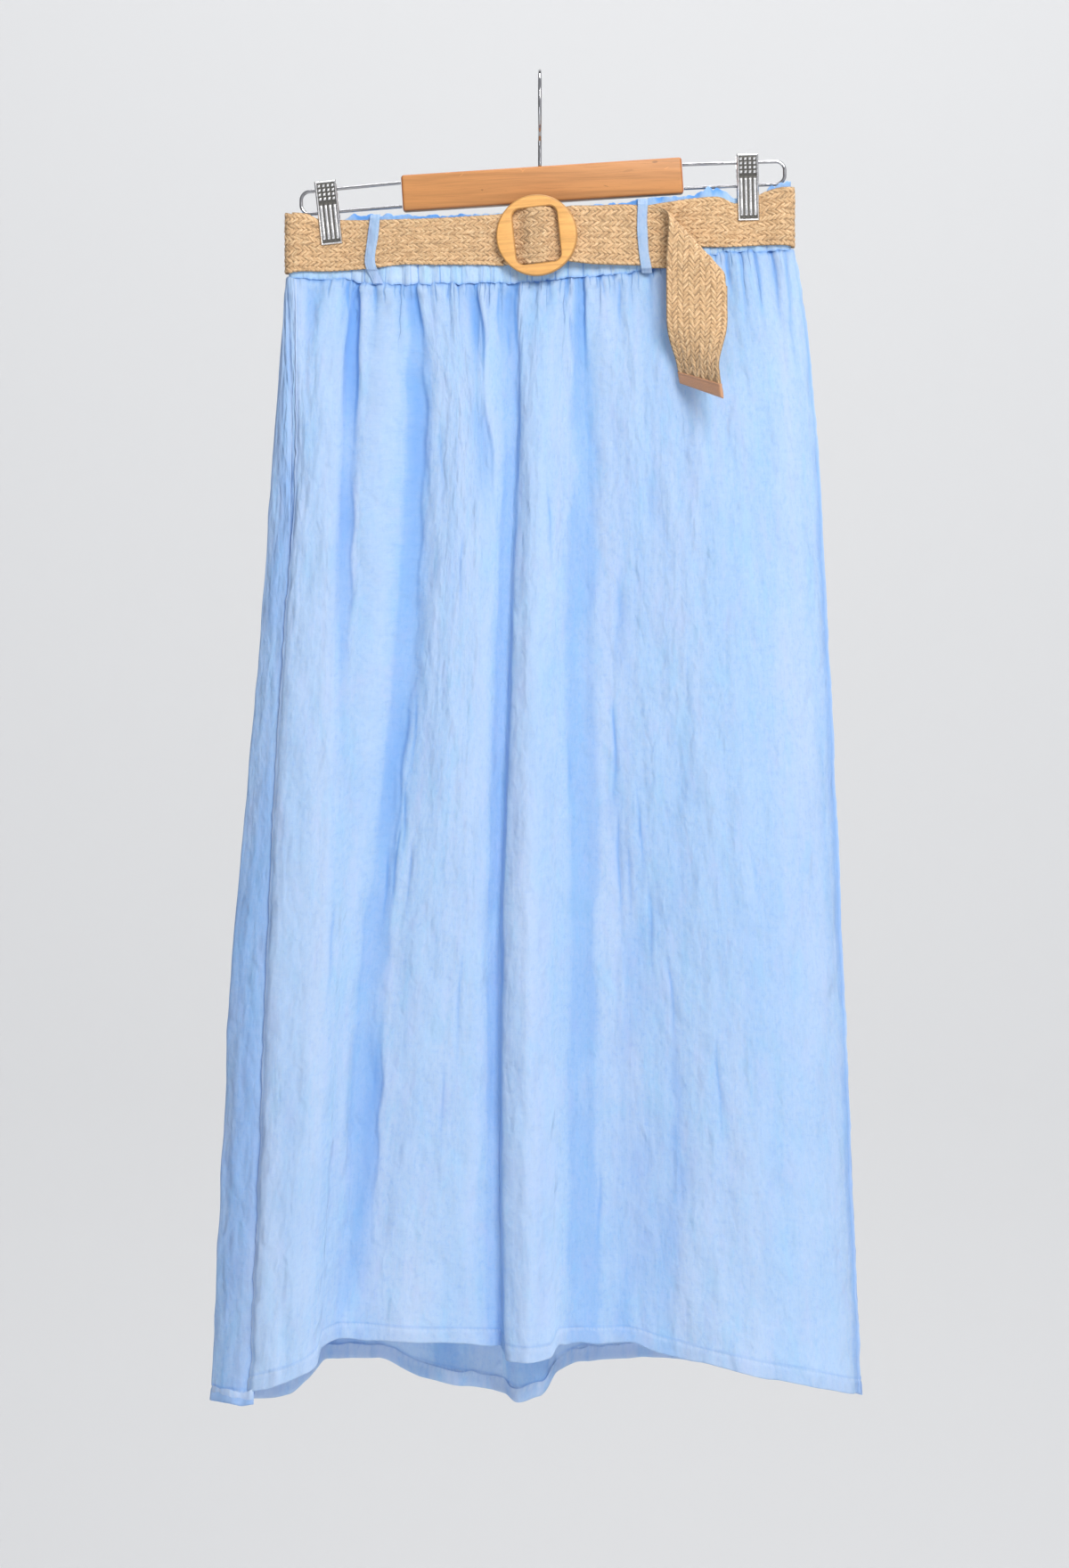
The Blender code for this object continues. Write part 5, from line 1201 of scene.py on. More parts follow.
def braid_row(read, length, width, face, row, look, seed):
    """One row of slanting twisted strands, each dipping under its neighbours."""
    lean = 1 if row % 2 == 0 else -1
    count = int(length / look.strand_pitch)
    k = np.arange(count)
    jitter = hashed(k, row, seed + face) - 0.5
    centre = (k + 0.5 + 0.28 * jitter + (0.25 if row % 2 else 0.0)) * length / count
    keep = (centre > 1.0) & (centre < length - 1.0)
    level = ((row + 0.5) / BRAID_ROWS + 0.008 * (hashed(k, row, seed + 7) - 0.5))[keep]
    tone = hashed(k, row, seed + 3)[keep]
    centre = centre[keep]

    def vary(amount, key):
        return amount * (hashed(centre, tone, seed + key)[:, None] - 0.5)

    steps = np.linspace(-1, 1, 7)
    ring = 2 * math.pi * np.arange(STRAND_SIDES) / STRAND_SIDES
    turn = math.radians(look.strand_tilt) * (1 + vary(0.34, 9))
    size = look.strand_length / 2 * (1 + vary(0.22, 11))
    curve = vary(0.5, 13) * (1 - steps**2)
    along = centre[:, None] + steps * size * np.cos(turn) + curve
    down = level[:, None] * width + lean * (steps * size * np.sin(turn) - curve)
    spot, out = read(np.clip(along, 0.0, length), np.clip(down, 1.3, width - 1.3) / width)
    hump = (1 - np.abs(steps) ** 2.2) * 0.55 - 0.12 + 0.16 * steps
    spot = spot + out * ((hump + 0.3 * (tone[:, None] - 0.5)) * face)[..., None]
    across = unit(np.cross(unit(np.gradient(spot, axis=1)), out))
    thick = (0.96 * (1 - 0.34 * np.abs(steps) ** 3) * (1 + vary(0.34, 5)))[:, :, None]
    twist = ring + steps[:, None] * 2.6 * lean + tone[:, None, None] * 6.0
    lobes = 1 + 0.16 * np.cos(2 * twist)
    tubes = spot[:, :, None, :] + (thick * lobes * np.cos(ring) * 1.24)[..., None] * across[:, :, None, :]
    tubes = tubes + (thick * lobes * np.sin(ring) * 0.54)[..., None] * out[:, :, None, :]
    for end in (0, -1):
        tubes[:, end] = tubes[:, end].mean(axis=1, keepdims=True)
    # painted shade: the far side of each strand, and its ends where it dips under, are marked to be darkened
    low = 0.5 - 0.5 * np.sin(ring) * face
    sunk = np.maximum(ease(np.abs(steps), 0.7, 1.05)[:, None], ease(low, 0.45, 0.9))
    return tubes, tone[:, None, None], sunk, along[:, :, None], ring * 0.7 + level[:, None, None] * width


def loose_fibres(read, length, width, face, seed):
    """Short fine fibres that lie loosely over the braid."""
    k = np.arange(int(length * 0.8))
    start = hashed(k, 0, seed + 21) * (length - 12.0) + 3.0
    heading = (hashed(k, 0, seed + 22) - 0.5) * 1.7
    reach = 1.6 + 2.6 * hashed(k, 0, seed + 23)
    bend = 1.6 * (hashed(k, 0, seed + 24) - 0.5)
    level = 1.0 + (width - 2.0) * hashed(k, 0, seed + 25) ** 0.8
    arc = np.linspace(-1, 1, 5)
    along = start[:, None] + arc * (reach * np.cos(heading))[:, None] + (bend[:, None] * (1 - arc**2))
    down = level[:, None] + arc * (reach * np.sin(heading))[:, None]
    spot, out = read(np.clip(along, 0.0, length), np.clip(down, -0.4, width + 0.4) / width)
    spot = spot + out * ((1.05 + 0.35 * arc**2 * hashed(k, 0, seed + 26)[:, None]) * face)[..., None]
    side = unit(np.cross(out, np.gradient(spot, axis=1)))
    corner = np.array(((0.0, 0.1), (-0.09, -0.06), (0.09, -0.06)))
    hair = spot[:, :, None, :] + side[:, :, None, :] * corner[:, :1] + out[:, :, None, :] * corner[:, 1:]
    return hair, 1.0, 0.0, along[:, :, None], down[:, :, None]


def braid(name, read, length, width, faces, look, seed):
    """Herringbone braid on a strip: rows of strands on each face, and loose fibres on the first."""
    parts = [
        braid_row(read, length, width, face, row, look, seed) for face in faces for row in range(BRAID_ROWS)
    ]
    parts.append(loose_fibres(read, length, width, faces[0], seed))
    points, quads, values, base = [], [], [], 0
    for tubes, *marks in parts:
        points.append(tubes.reshape(-1, 3))
        quads.append(ring_quads(*tubes.shape[:3]) + base)
        values.append([np.broadcast_to(mark, tubes.shape[:3]).ravel() for mark in marks])
        base += len(points[-1])
    tone, depth, u, v = (np.concatenate(column) for column in zip(*values))
    uv = np.stack((u, v), axis=-1)
    # depth carries the painted shade of the strands
    layers = {"tone": tone, "depth": depth}
    return soup_mesh(name, np.concatenate(points), np.concatenate(quads), uv, jute_material(look), layers)


def braided_strip(core_name, braid_name, points, at, trim, faces, look, seed):
    """A thin core strip, in a darker colour as painted shade in the gaps between strands, and the braid over
    it; at is the row and column whose normal faces front.
    """
    normals = surface_normals(points, -1, at)
    read, length = strip_surface(points, normals)
    half = normals * 0.7 / 2
    rows, columns = points.shape[0], 2 * points.shape[1]
    uv = np.stack(np.meshgrid(np.arange(rows) * 3.0, np.arange(columns) * 3.0, indexing="ij"), axis=-1)
    # painted shade: the core is a darker copy of the belt colour
    dark = plain_material("jute_core", scaled(look.belt_colour, 0.55), 0.95)
    core = closed_mesh(core_name, points + half, points - half, uv, dark)
    return core, braid(braid_name, read, length - trim, BRAID_WIDTH, faces, look, seed)


def make_belt_round(look):
    """Belt round the waist: a thin core with braid on its outer face, plain braid at the back too."""
    x, y, top, bottom = belt_round_line()
    shares = np.linspace(0, 1, 7)
    points = np.stack([np.stack((x, y, top + (bottom - top) * s), axis=1) for s in shares], axis=1)
    core, plait = braided_strip("belt_core", "belt_braid", points, (60, 3), 0.0, (1,), look, 51)
    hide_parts("belt_round")


def free_end_depth(x):
    """y of the middle of the free end: behind the rims, over the bar, then on the belt beneath."""
    behind = BELT_WALL / 2 + GAP
    over = -(BAR_DEPTH + GAP + BELT_WALL / 2)
    keys = BUCKLE_CENTRE[0] + np.array((-24.0, -14.5, -4.2, 4.2, 14.5, 27.0))
    values = buckle_plane(keys) + np.array((behind, behind, over, over, behind, behind))
    rest_x = np.array((60.0, FOLD_TOP[0]))
    return cubic(np.append(keys, rest_x), np.append(values, -belt_depth(rest_x, 2)), x)


def free_end_points(x, down):
    """Points of the free end: x as if it lay straight, down from its top edge as a share of its width."""
    x, down = np.broadcast_arrays(np.asarray(x, float), np.asarray(down, float))
    straight = np.minimum(x, FOLD_TOP[0])
    top = through(BELT_FREE, 1, straight)
    bottom = through(BELT_FREE, 2, straight)
    y = free_end_depth(straight)
    flat = np.stack((straight, y, top + (bottom - top) * down), axis=-1)
    cos, sin = math.cos(FOLD_ANGLE), math.sin(FOLD_ANGLE)
    along, below = x - FOLD_TOP[0], down * STRAP_WIDTH
    past = along * sin - below * cos
    axis = along * cos + below * sin
    half_turn = math.pi * FOLD_RADIUS
    angle = np.clip(past / FOLD_RADIUS, 0, math.pi)
    across = np.where(past < 0, past, FOLD_RADIUS * np.sin(angle))
    across = np.where(past > half_turn, half_turn - past, across)
    forward = np.where(past < 0, 0.0, FOLD_RADIUS * (1 - np.cos(angle)))
    px = FOLD_TOP[0] + axis * cos + across * sin
    pz = FOLD_TOP[1] - axis * sin + across * cos
    py = y - forward
    travel = STRAP_WIDTH / 2 / sin + math.pi * FOLD_RADIUS * cos / sin
    middle_x, middle_z = FOLD_TOP[0] + travel * cos, FOLD_TOP[1] - travel * sin
    drop = np.maximum(0.0, middle_z - pz)
    side = px + drop * math.tan(2 * FOLD_ANGLE - math.pi / 2) - middle_x
    twist = FALL_TWIST * ease(drop, 36.0, 82.0)
    roll = FALL_ROLL * ease(drop, 60.0, 100.0)
    hx = middle_x + side * np.cos(twist) + 3.5 * ease(drop, 75.0, 105.0)
    hy = py - 10.5 * ease(drop, 15.0, 85.0) - side * np.sin(twist)
    hanging = np.stack((hx, hy, pz - side * np.sin(roll)), axis=-1)
    folded = np.where((past > half_turn)[..., None], hanging, np.stack((px, py, pz), axis=-1))
    return np.where((x <= FOLD_TOP[0])[..., None], flat, folded)


def make_free_end(look):
    """Free end of the belt, braided on both faces, with its leather tip."""
    stations = np.linspace(BUCKLE_LEFT, FREE_LENGTH - TIP_LENGTH + 2.0, 230)
    points = free_end_points(stations[:, None], np.linspace(0, 1, 13))
    core, plait = braided_strip("strap_core", "strap_braid", points, (10, 6), 1.5, (1, -1), look, 61)
    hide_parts("belt_free_end")
    tip = make_tip(look)


def make_tip(look):
    """Leather end cap of the belt: two layers with a folded end and a stitch line."""
    start = FREE_LENGTH - TIP_LENGTH + GAP
    stations = np.linspace(start, FREE_LENGTH, 16)[:, None]
    shares = np.linspace(-0.012, 1.012, 60)
    middle = free_end_points(stations, shares)
    round_end = np.clip((FREE_LENGTH - stations) / 1.4, 0, 1)
    round_side = np.clip(np.minimum(shares + 0.012, 1.012 - shares) * BRAID_WIDTH / 1.2, 0, 1)
    half = 1.5 * (1 - 0.28 * bell(stations - start - 2.3, 0.55))
    half = half * np.maximum(round_end**0.5 * round_side**0.5, 0.12)
    half = half * (1 + 0.08 * cloud(stations / 3.0 + 0 * half, shares * 12.0 + 0 * half, 71))
    lift = surface_normals(middle) * half[..., None]
    leather = plain_material("tip_leather", tuple(look.tip_colour)[:3], 0.55, 1400.0, 0.00015)
    tip = closed_mesh("belt_cap", middle + lift, middle - lift, None, leather)
    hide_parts("belt_tip")
    return tip


# ---------------------------------------------------------------- buckle and hanger


def rounded_rectangle(half_width, half_height, corner, angle):
    """Distance from the middle of a rounded rectangle to its edge in a direction."""
    cos, sin = abs(math.cos(angle)), abs(math.sin(angle))
    inner_x, inner_y = half_width - corner, half_height - corner
    if cos > 1e-9 and half_width * sin / cos <= inner_y:
        return half_width / cos
    if sin > 1e-9 and half_height * cos / sin <= inner_x:
        return half_height / sin
    reach = inner_x * cos + inner_y * sin
    return reach + math.sqrt(reach**2 - inner_x**2 - inner_y**2 + corner**2)


def make_buckle(look):
    """Turned wooden ring with a rounded slot, softened edges painted darker as shade, and a bar across its
    back.
    """
    count, soft, wall = 160, 1.3, BUCKLE_WALL
    turns = [(math.cos(math.radians(18 * k)), math.sin(math.radians(18 * k))) for k in range(6)]
    # the last value of each step is how much painted edge shade it takes
    profile = [("hole", soft * (1 - cos), -wall + soft * (1 - sin), 1.0) for cos, sin in turns]
    profile += [("rim", -soft * (1 - sin), -wall + soft * (1 - cos), 1.0) for cos, sin in turns]
    profile += [("rim", 0.0, -soft, 0.8), ("rim", -0.4, -0.3, 0.8), ("rim", -1.2, 0.0, 0.3)]
    profile += [("hole", 1.2, 0.0, 0.3), ("hole", 0.4, -0.3, 0.8), ("hole", 0.0, -soft, 1.0)]
    bm = bmesh.new()
    # painted shade: the rounded edges and the walls of the rim and the slot are darker, the flat front face
    # not
    edge_shade = bm.verts.layers.float.new("edge")
    loops = []
    for base, inset, y, edge in profile:
        loop = []
        for i in range(count):
            angle = 2 * math.pi * (i + 0.5) / count
            radius = BUCKLE_RADIUS if base == "rim" else rounded_rectangle(*BUCKLE_HOLE, angle)
            radius += inset
            vertex = bm.verts.new((radius * math.cos(angle), y, radius * math.sin(angle)))
            vertex[edge_shade] = edge if abs(y + wall) > 0.05 else 0.0
            loop.append(vertex)
        loops.append(loop)
    for a, b in zip(loops, loops[1:] + loops[:1]):
        for i in range(count):
            j = (i + 1) % count
            bm.faces.new((a[i], a[j], b[j], b[i]))
    bar = bmesh.ops.create_cube(bm, size=1.0)["verts"]
    size = Matrix.Diagonal((5.0, BAR_DEPTH - 0.2, 2 * BUCKLE_HOLE[1] + 4.0, 1.0))
    place = Matrix.Translation((0.0, -(BAR_DEPTH + 0.2) / 2, 0.0)) @ size
    bmesh.ops.transform(bm, matrix=place, verts=bar)
    bar_edges = [e for e in bm.edges if e.verts[0] in bar and e.verts[1] in bar]
    bmesh.ops.bevel(bm, geom=bar_edges, offset=0.5, segments=3, affect="EDGES")
    bmesh.ops.recalc_face_normals(bm, faces=bm.faces)
    turn = Matrix.Rotation(-BUCKLE_YAW, 4, "Z") @ Matrix.Rotation(-BUCKLE_ROLL, 4, "Y")
    colour = tuple(look.buckle_colour)[:3]
    # painted shade: the edges in a darker copy of the buckle colour
    wood = wood_material("buckle_grain", colour, 1.6, scaled(colour, 0.55))
    ring = carved_piece("buckle_ring", bm, BUCKLE_CENTRE, turn, wood, 60)
    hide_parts("buckle")


def make_block(look):
    """Wooden block of the hanger, its long edges rounded over and painted darker as shade."""
    bm = bmesh.new()
    bmesh.ops.create_cube(bm, size=1.0)
    bmesh.ops.scale(bm, vec=BLOCK_SIZE, verts=bm.verts)
    bmesh.ops.bevel(bm, geom=bm.edges[:], offset=2.2, segments=5, profile=0.5, affect="EDGES")
    # painted shade: 0 on the flat faces, rising to 1 on the rounded edges
    edge_shade = bm.verts.layers.float.new("edge")
    for vertex in bm.verts:
        gap = min(BLOCK_SIZE[1] / 2 - abs(vertex.co.y), BLOCK_SIZE[2] / 2 - abs(vertex.co.z))
        vertex[edge_shade] = 0.0 if gap < 0.02 else min(1.0, gap / 0.8)
    colour = tuple(look.block_colour)[:3]
    # painted shade: the rounded edges in a darker brown
    wood = wood_material("block_grain", colour, 1.0, (0.5, 0.14, 0.05), BLOCK_MARKS)
    block = carved_piece("block_bar", bm, BLOCK_CENTRE, Matrix.Rotation(-BLOCK_TILT, 4, "Y"), wood, 50)
    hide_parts("hanger_block")


def rounded_path(corners, radius, steps):
    """Line through corners, with each inner corner rounded off."""
    corners = [np.array(c, float) for c in corners]
    path = [corners[0]]
    for before, corner, after in zip(corners, corners[1:], corners[2:]):
        into = (before - corner) / np.linalg.norm(before - corner)
        out = (after - corner) / np.linalg.norm(after - corner)
        half = math.acos(float(np.clip(into @ out, -1, 1))) / 2
        reach = radius / math.tan(half)
        bisector = (into + out) / np.linalg.norm(into + out)
        centre = corner + bisector * radius / math.sin(half)
        start, stop = corner + into * reach - centre, corner + out * reach - centre
        sweep = math.acos(float(np.clip(start @ stop / radius**2, -1, 1)))
        for k in range(steps + 1):
            t = k / steps
            mix = start * math.sin((1 - t) * sweep) + stop * math.sin(t * sweep)
            path.append(centre + mix / math.sin(sweep))
    path.append(corners[-1])
    return path


def make_wires():
    """The hook and the two wire loops of the hanger."""
    for name, x0, z0, x1, z1, x2, z2, x3, z3, end in WIRE_LOOPS:
        upper = z1 + (z1 - z0) / (x1 - x0) * (end - x1)
        lower = z3 + (z3 - z2) / (x3 - x2) * (end - x3)
        run = [(x0, 0, z0), (end, 0, upper), (end, 0, lower), (x2, 0, z2)]
        points, faces = tube(rounded_path(run, WIRE_BEND, 14), WIRE_RADIUS, 20)
        title = name.replace("hanger_wire", "wire")
        wire = soup_mesh(title, points, faces, None, wire_material(), sharp=50)
        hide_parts(name)
    centre_z = WIRE_RADIUS - HOOK_RADIUS
    tilt = math.tan(BLOCK_TILT)
    block_top = BLOCK_CENTRE[2] + BLOCK_SIZE[2] / 2 / math.cos(BLOCK_TILT) - BLOCK_CENTRE[0] * tilt
    foot = block_top + GAP + WIRE_RADIUS * tilt
    stem = [(0.0, 0.0, foot), (0.0, 0.0, -54.0), (0.0, -1.2, -49.6), (0.0, -4.8, -46.1)]
    angles = np.linspace(HOOK_START, HOOK_STOP, 90)
    arc = [(0.0, -HOOK_RADIUS * math.sin(a), centre_z - HOOK_RADIUS * math.cos(a)) for a in angles]
    line = np.array(stem + arc)
    travel = np.concatenate(([0.0], np.cumsum(np.linalg.norm(np.diff(line, axis=0), axis=1))))
    even = np.linspace(0, travel[-1], 150)
    line = np.stack([np.interp(even, travel, line[:, k]) for k in range(3)], axis=1)
    radius = np.full(len(line), WIRE_RADIUS)
    radius[-3:] = WIRE_RADIUS * np.array((0.97, 0.8, 0.45))
    points, faces = tube(line, radius, 24)
    hook = soup_mesh("hook", points, faces, None, wire_material())
    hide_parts("hanger_hook")


def plate_relief(x, up, length):
    """Height of a clip's plate over its floor: raised rim, four ribs below and sixteen studs above."""
    rim = np.minimum(CLIP_HALF - np.abs(x), np.minimum(up, length - up))
    height = 0.95 * ease(rim, -0.1, 0.7) * (1 - ease(rim, 0.9, 1.9))
    for column in STUD_COLUMNS:
        side = np.abs(x - column) / 1.15
        end = np.minimum(up - 3.3, length - RIBS_TOP - up)
        rib = np.sqrt(np.clip(1 - side**2, 0, 1)) * ease(end, -0.2, 1.6)
        height = np.maximum(height, 0.95 * rib)
        for row in range(4):
            off = np.maximum(np.abs(x - column), np.abs(up - (length - STUD_TOP - STUD_PITCH * row)))
            height = np.maximum(height, 1.05 * fade(off, 1.4))
    return height


def plate_lines(length):
    """Columns and rows of a clip plate's mesh, placed on the edges of its ribs and studs."""
    columns = [sign * (CLIP_HALF - step) for sign in (-1, 1) for step in RIM_STEPS]
    beside = [sign * reach for sign in (-1, 1) for reach in (0.35, 0.7, 0.95, 1.1, 1.16, 1.4)]
    columns += [column + step for column in STUD_COLUMNS for step in (0.0, *beside)]
    rows = [*RIM_STEPS, *(length - step for step in RIM_STEPS)]
    for row in range(4):
        middle = length - STUD_TOP - STUD_PITCH * row
        rows += [middle + step for step in (-1.4, -0.95, -0.5, 0.0, 0.5, 0.95, 1.4)]
    rows += [3.1 + step for step in (0.0, 0.5, 1.0, 1.4, 1.85, 6.0, 11.0)]
    rows += [length - RIBS_TOP + 0.2 - step for step in (0.0, 0.5, 1.0, 1.4, 1.85, 5.0)]
    return np.unique(np.round(columns, 3)), np.unique(np.round(rows, 3))


def spring_parts():
    """The coil of a clip's spring and the two ears that the plates turn on, along X."""
    turn = np.linspace(0, 2 * math.pi * 6, 150)
    coil = np.stack((np.linspace(-4.2, 4.2, 150), 2.35 * np.cos(turn), 2.35 * np.sin(turn)), axis=1)
    parts = [tube(coil, 0.55, 8)]
    angle = 2 * math.pi * np.arange(32) / 32
    outline = ((5.15, 3.8, -0.45), (5.15, 3.8, 0.45), (1.7, 1.7, 0.45), (1.7, 1.7, -0.45), (5.15, 3.8, -0.45))
    for at in (-5.0, 5.0):
        rings = [
            np.stack((at + along + 0 * angle, deep * np.cos(angle), high * np.sin(angle)), axis=1)
            for deep, high, along in outline
        ]
        parts.append((np.concatenate(rings), ring_quads(5, 32)))
    return joined(parts)


def make_clip(row, loop):
    """A sprung clip: front and back plates, the coil and the ears that the plates turn on."""
    name, x_top, z_top, x_bottom, z_bottom = row
    length = math.hypot(x_top - x_bottom, z_top - z_bottom)
    lean = math.atan2(x_top - x_bottom, z_top - z_bottom)
    across, rise = np.meshgrid(*plate_lines(length))
    height = plate_relief(across, rise, length)
    stand = CLIP_FACE + CLIP_LEAN * ease(rise, CLIP_JAW, length)
    px = x_bottom + across * math.cos(lean) + rise * math.sin(lean)
    pz = z_bottom - across * math.sin(lean) + rise * math.cos(lean)
    # recess: the floor between rim, ribs and studs, darkened by the plating as painted shade
    layers = {"recess": np.concatenate((1 - height / 0.95, 0 * height), axis=1)}
    for side, title in ((-1, "front"), (1, "back")):
        front, back = (np.stack((px, side * out, pz), axis=-1) for out in (stand + 0.25 + height, stand))
        plate = closed_mesh(f"{name}_{title}_plate", front, back, None, chrome_material(), layers, 38)
        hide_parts(f"{name}_{title}")
    x2, z2, x3, z3 = loop[5:9]
    middle_x = (x_top + x_bottom) / 2
    slope = math.atan2(z3 - z2, x3 - x2)
    middle_z = z2 + (middle_x - x2) * math.tan(slope)
    points, faces = spring_parts()
    x, y, z = points.T
    cos, sin = math.cos(slope), math.sin(slope)
    placed = np.stack((middle_x + x * cos - z * sin, y, middle_z + x * sin + z * cos), axis=1)
    spring = soup_mesh(f"{name}_coil", placed, faces, None, chrome_material(), sharp=50)
    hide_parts(f"{name}_spring")


# ---------------------------------------------------------------- stage


def make_backdrop(look):
    """Pale sheet that sweeps from the wall into the floor."""
    rows = [(-6.0, -2.3), (3.8, -2.3)]
    for degrees in range(10, 91, 10):
        angle = math.radians(degrees)
        rows.append((3.8 + 1.2 * math.sin(angle), -1.1 - 1.2 * math.cos(angle)))
    rows.append((5.0, 5.0))
    grid = np.array([[(x, y, z) for x in np.linspace(-7.0, 7.0, 9)] for y, z in rows]) / MM
    paper = Nodes("backdrop_paper").finish(tuple(look.stage_colour)[:3], 0.95, Specular_IOR_Level=0.1)
    grid_mesh("backdrop", grid, grid[..., (0, 2)], paper)


def make_lights(look):
    """Four soft square lights: title, place, aim, size, power and colour."""
    for title, place, aim, size, power, tint in (
        ("key", (1.0, -2.6, 1.35), (0.0, 0.0, -0.5), 1.3, look.key_power, (1.0, 0.985, 0.96)),
        ("fill", (-1.3, -2.5, -1.75), (0.0, 0.0, -0.75), 1.4, look.fill_power, (0.93, 0.96, 1.0)),
        ("side", (2.5, -2.0, -0.25), (0.0, 0.0, -0.4), 2.4, look.side_power, (1.0, 0.99, 0.98)),
        ("wall", (0.4, 1.0, 4.2), (0.0, 5.0, -2.0), 2.4, look.wall_power, (1.0, 1.0, 1.0)),
    ):
        light = bpy.data.lights.new(title, "AREA")
        light.shape, light.size, light.energy, light.color = "SQUARE", size, power, tint
        lamp = bpy.data.objects.new(title, light)
        lamp.location = place
        lamp.rotation_euler = (Vector(aim) - Vector(place)).to_track_quat("-Z", "Y").to_euler()
        bpy.context.scene.collection.objects.link(lamp)


def make_room(look):
    """Weak light from all round, paler from the upper right in front."""
    world = bpy.data.worlds.new("room")
    world.use_nodes = True
    tree = world.node_tree
    ground = tree.nodes["Background"]
    ground.inputs["Strength"].default_value = look.room_light
    place = tree.nodes.new("ShaderNodeTexCoord")
    aim = tree.nodes.new("ShaderNodeVectorMath")
    aim.operation = "DOT_PRODUCT"
    aim.inputs[1].default_value = (0.5, -0.6, 0.38)
    half = tree.nodes.new("ShaderNodeMath")
    half.operation = "MULTIPLY_ADD"
    half.inputs[1].default_value = half.inputs[2].default_value = 0.5
    ramp = tree.nodes.new("ShaderNodeValToRGB")
    stops = ((0.42, (0.20, 0.205, 0.22, 1.0)), (0.66, (0.95, 0.96, 1.0, 1.0)))
    for stop, (position, colour) in zip(ramp.color_ramp.elements, stops):
        stop.position, stop.color = position, colour
    for output, socket in (
        (place.outputs["Generated"], aim.inputs[0]),
        (aim.outputs["Value"], half.inputs[0]),
        (half.outputs[0], ramp.inputs[0]),
        (ramp.outputs["Color"], ground.inputs["Color"]),
    ):
        tree.links.new(output, socket)
    bpy.context.scene.world = world


def make_camera():
    """Camera straight in front, and plain display of the colours."""
    scene = bpy.context.scene
    lens = bpy.data.cameras.new("camera")
    lens.lens = 100.15
    lens.sensor_width = 36.0
    lens.clip_end = 30.0
    camera = bpy.data.objects.new("camera", lens)
    camera.location = (-0.0039, -3.2, -0.5216)
    camera.rotation_euler = (math.radians(90), 0.0, 0.0)
    scene.collection.objects.link(camera)
    scene.camera = camera
    scene.view_settings.view_transform = "Standard"
    scene.view_settings.look = "None"


# ---------------------------------------------------------------- settings, operators and panel


def colour(name, description, default):
    """A colour setting."""
    return FloatVectorProperty(
        name=name, description=description, default=default, size=3, min=0.0, max=1.0, subtype="COLOR"
    )


def amount(name, description, default, **more):
    """A plain number setting."""
    return FloatProperty(name=name, description=description, default=default, **more)


def power(name, description, default):
    """A light's power."""
    return amount(name, description, default, unit="POWER")


def columns(name, description, default):
    """A number of mesh columns."""
    return IntProperty(name=name, description=description, default=default)


class SkirtSettings(bpy.types.PropertyGroup):
    """Sizes and colours of the skirt, its belt and the stage."""

    cloth_colour: colour("Cloth colour", "Main colour of the linen", (0.465, 0.67, 0.935))
    # the pale yarn colour also gives the painted light on the crests
    pale_yarn_and_crest_light: colour("Pale yarn", "Colour of the paler, slubby yarns", (0.585, 0.72, 0.935))
    # the deep yarn colour also gives the painted shade in folds, creases and hollows
    deep_yarn_and_shade: colour("Deep yarn", "Colour of the deeper yarns and the thread", (0.155, 0.395, 0.86))
    pale_bands: amount("Pale bands", "How much the pale yarn shows in bands", 0.7)
    see_through: amount("See-through", "Share of the light that passes the linen", 0.2)
    weave_relief: amount("Weave relief", "Strength of the weave's relief", 0.5)
    crinkle_relief: amount("Crinkle relief", "Strength of the finest crinkles", 0.6)
    crinkle_depth: amount("Crinkle depth", "How deep the fine crinkles go", 1.0)
    crease_depth: amount("Crease depth", "How deep the main creases go", 1.0)
    panel_columns: columns("Front columns", "Columns of the front panel's mesh", 420)
    back_columns: columns("Back columns", "Columns of the back panel's mesh", 400)
    belt_colour: colour("Belt colour", "Main colour of the braid", (0.70, 0.46, 0.255))
    belt_light: colour("Belt light fibre", "Palest fibres of the braid", (0.90, 0.69, 0.43))
    # the dark fibre colour also gives the painted shade between strands
    belt_dark_fibre_and_shade: colour("Belt dark fibre", "Darkest fibres of the braid", (0.36, 0.20, 0.09))
    strand_pitch: amount("Strand pitch", "Millimetres between strands of a row", 3.5)
    strand_length: amount("Strand length", "Length of a strand in millimetres", 8.6)
    strand_tilt: amount("Strand tilt", "Degrees from a strand to the belt's length", 33.0)
    tip_colour: colour("Tip colour", "Colour of the leather tip", (0.55, 0.29, 0.165))
    buckle_colour: colour("Buckle colour", "Colour of the buckle's wood", (0.88, 0.455, 0.145))
    block_colour: colour("Block colour", "Colour of the hanger's wood", (0.565, 0.25, 0.084))
    stage_colour: colour("Stage colour", "Colour of the backdrop", (0.825, 0.83, 0.835))
    key_power: power("Key light", "Power of the main light", 86.0)
    fill_power: power("Fill light", "Power of the weak light from the left", 12.5)
    side_power: power("Side light", "Power of the wide light from the right", 6.0)
    wall_power: power("Wall light", "Power of the light on the backdrop", 148.0)
    room_light: amount("Room light", "Strength of the light from all round", 0.46)


class SKIRT_OT_panels(bpy.types.Operator):
    """Build the gathered front and back panels"""

    bl_idname = "skirt.panels"
    bl_label = "Panels"

    def execute(self, context):
        look = context.scene.skirt_settings
        make_front_panel(look)
        make_back_panel(look)
        return {"FINISHED"}


class SKIRT_OT_waist(bpy.types.Operator):
    """Build the elastic casing and its belt loops"""

    bl_idname = "skirt.waist"
    bl_label = "Waist and loops"

    def execute(self, context):
        look = context.scene.skirt_settings
        make_casing(look, -1)
        make_casing(look, 1)
        for row in BELT_LOOPS:
            make_loop(look, row[0].replace("belt_loop", "loop"), *row[1:])
        return {"FINISHED"}


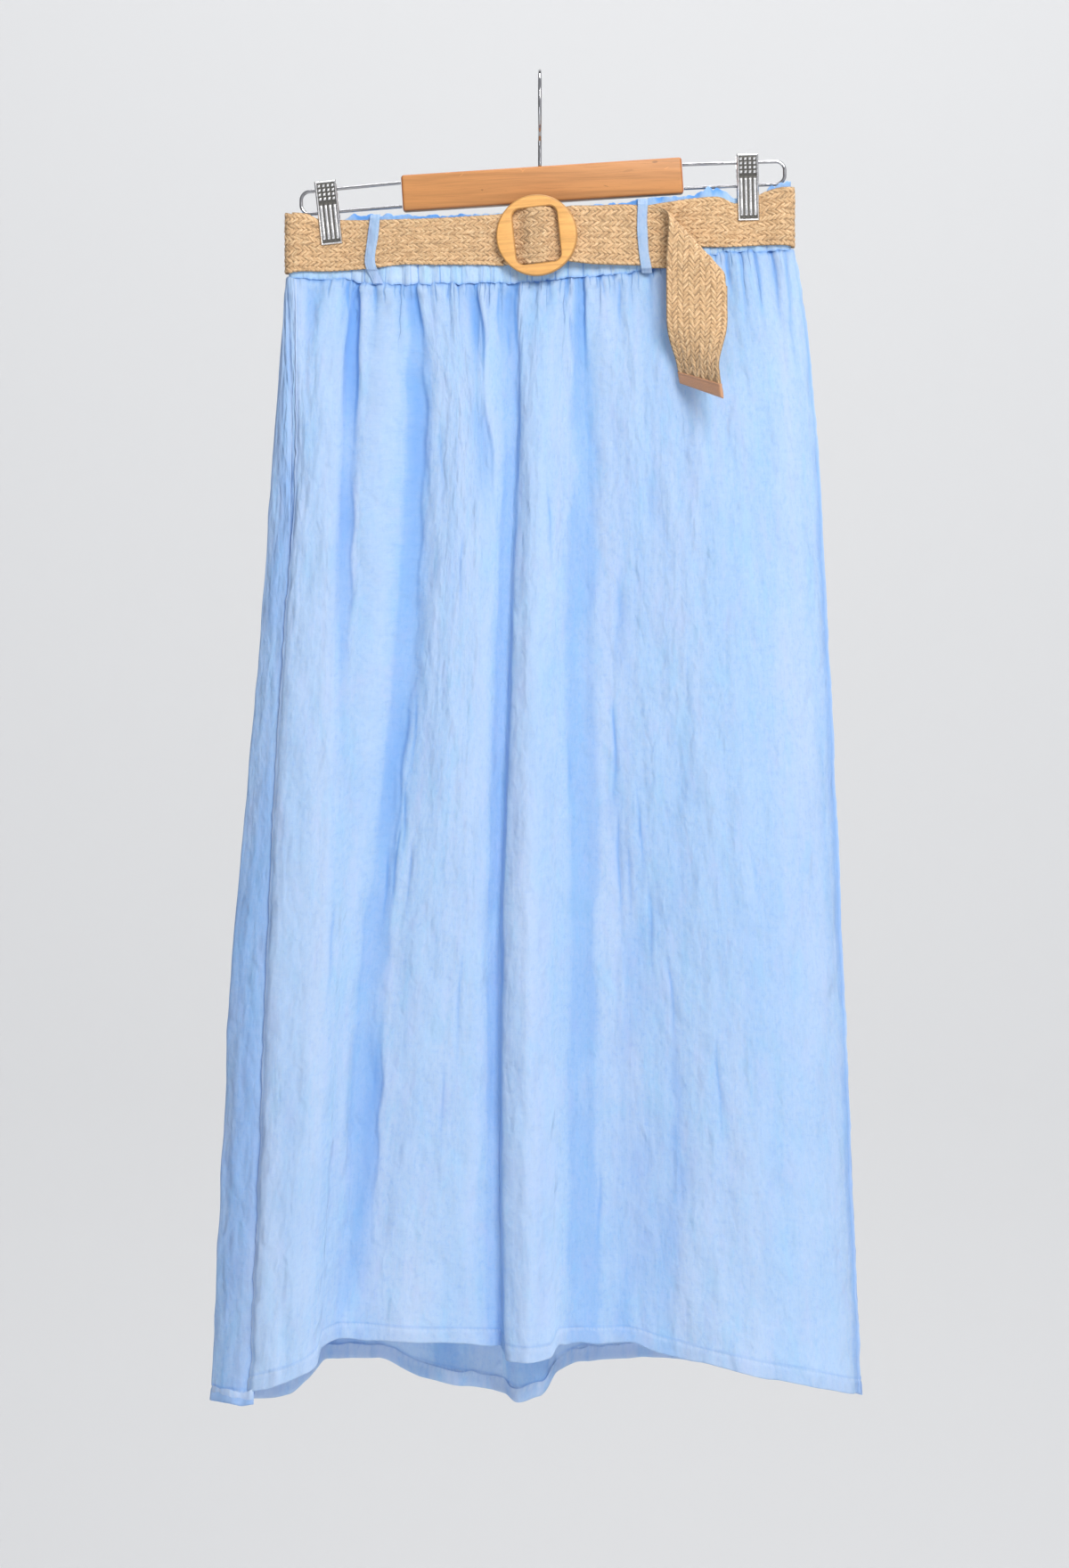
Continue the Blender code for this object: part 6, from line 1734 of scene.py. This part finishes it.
class SKIRT_OT_belt(bpy.types.Operator):
    """Build the braided belt with its buckle and tip"""

    bl_idname = "skirt.belt"
    bl_label = "Belt and buckle"

    def execute(self, context):
        look = context.scene.skirt_settings
        make_buckle(look)
        make_belt_round(look)
        make_free_end(look)
        return {"FINISHED"}


class SKIRT_OT_hanger(bpy.types.Operator):
    """Build the wooden block, the hook, the wires and the clips"""

    bl_idname = "skirt.hanger"
    bl_label = "Hanger"

    def execute(self, context):
        make_block(context.scene.skirt_settings)
        make_wires()
        for row, loop in zip(CLIPS, WIRE_LOOPS):
            make_clip(row, loop)
        return {"FINISHED"}


class SKIRT_OT_stage(bpy.types.Operator):
    """Set up the backdrop, the lights and the camera"""

    bl_idname = "skirt.stage"
    bl_label = "Stage"

    def execute(self, context):
        look = context.scene.skirt_settings
        make_backdrop(look)
        make_lights(look)
        make_room(look)
        make_camera()
        return {"FINISHED"}


OPERATORS = (SKIRT_OT_panels, SKIRT_OT_waist, SKIRT_OT_belt, SKIRT_OT_hanger, SKIRT_OT_stage)


class SKIRT_PT_sidebar(bpy.types.Panel):
    """Sidebar panel with the build steps and the settings"""

    bl_idname = "SKIRT_PT_sidebar"
    bl_label = "Maxi Skirt"
    bl_space_type = "VIEW_3D"
    bl_region_type = "UI"
    bl_category = "Skirt"

    def draw(self, context):
        column = self.layout.column()
        for operator in OPERATORS:
            column.operator(operator.bl_idname)
        settings = context.scene.skirt_settings
        for key in SkirtSettings.__annotations__:
            column.prop(settings, key)


CLASSES = (SkirtSettings, *OPERATORS, SKIRT_PT_sidebar)


def register():
    for cls in CLASSES:
        bpy.utils.register_class(cls)
    bpy.types.Scene.skirt_settings = PointerProperty(type=SkirtSettings)


def unregister():
    del bpy.types.Scene.skirt_settings
    for cls in reversed(CLASSES):
        bpy.utils.unregister_class(cls)


def main():
    register()
    bpy.ops.skirt.panels()
    bpy.ops.skirt.waist()
    bpy.ops.skirt.belt()
    bpy.ops.skirt.hanger()
    bpy.ops.skirt.stage()


if __name__ == "__main__":
    main()
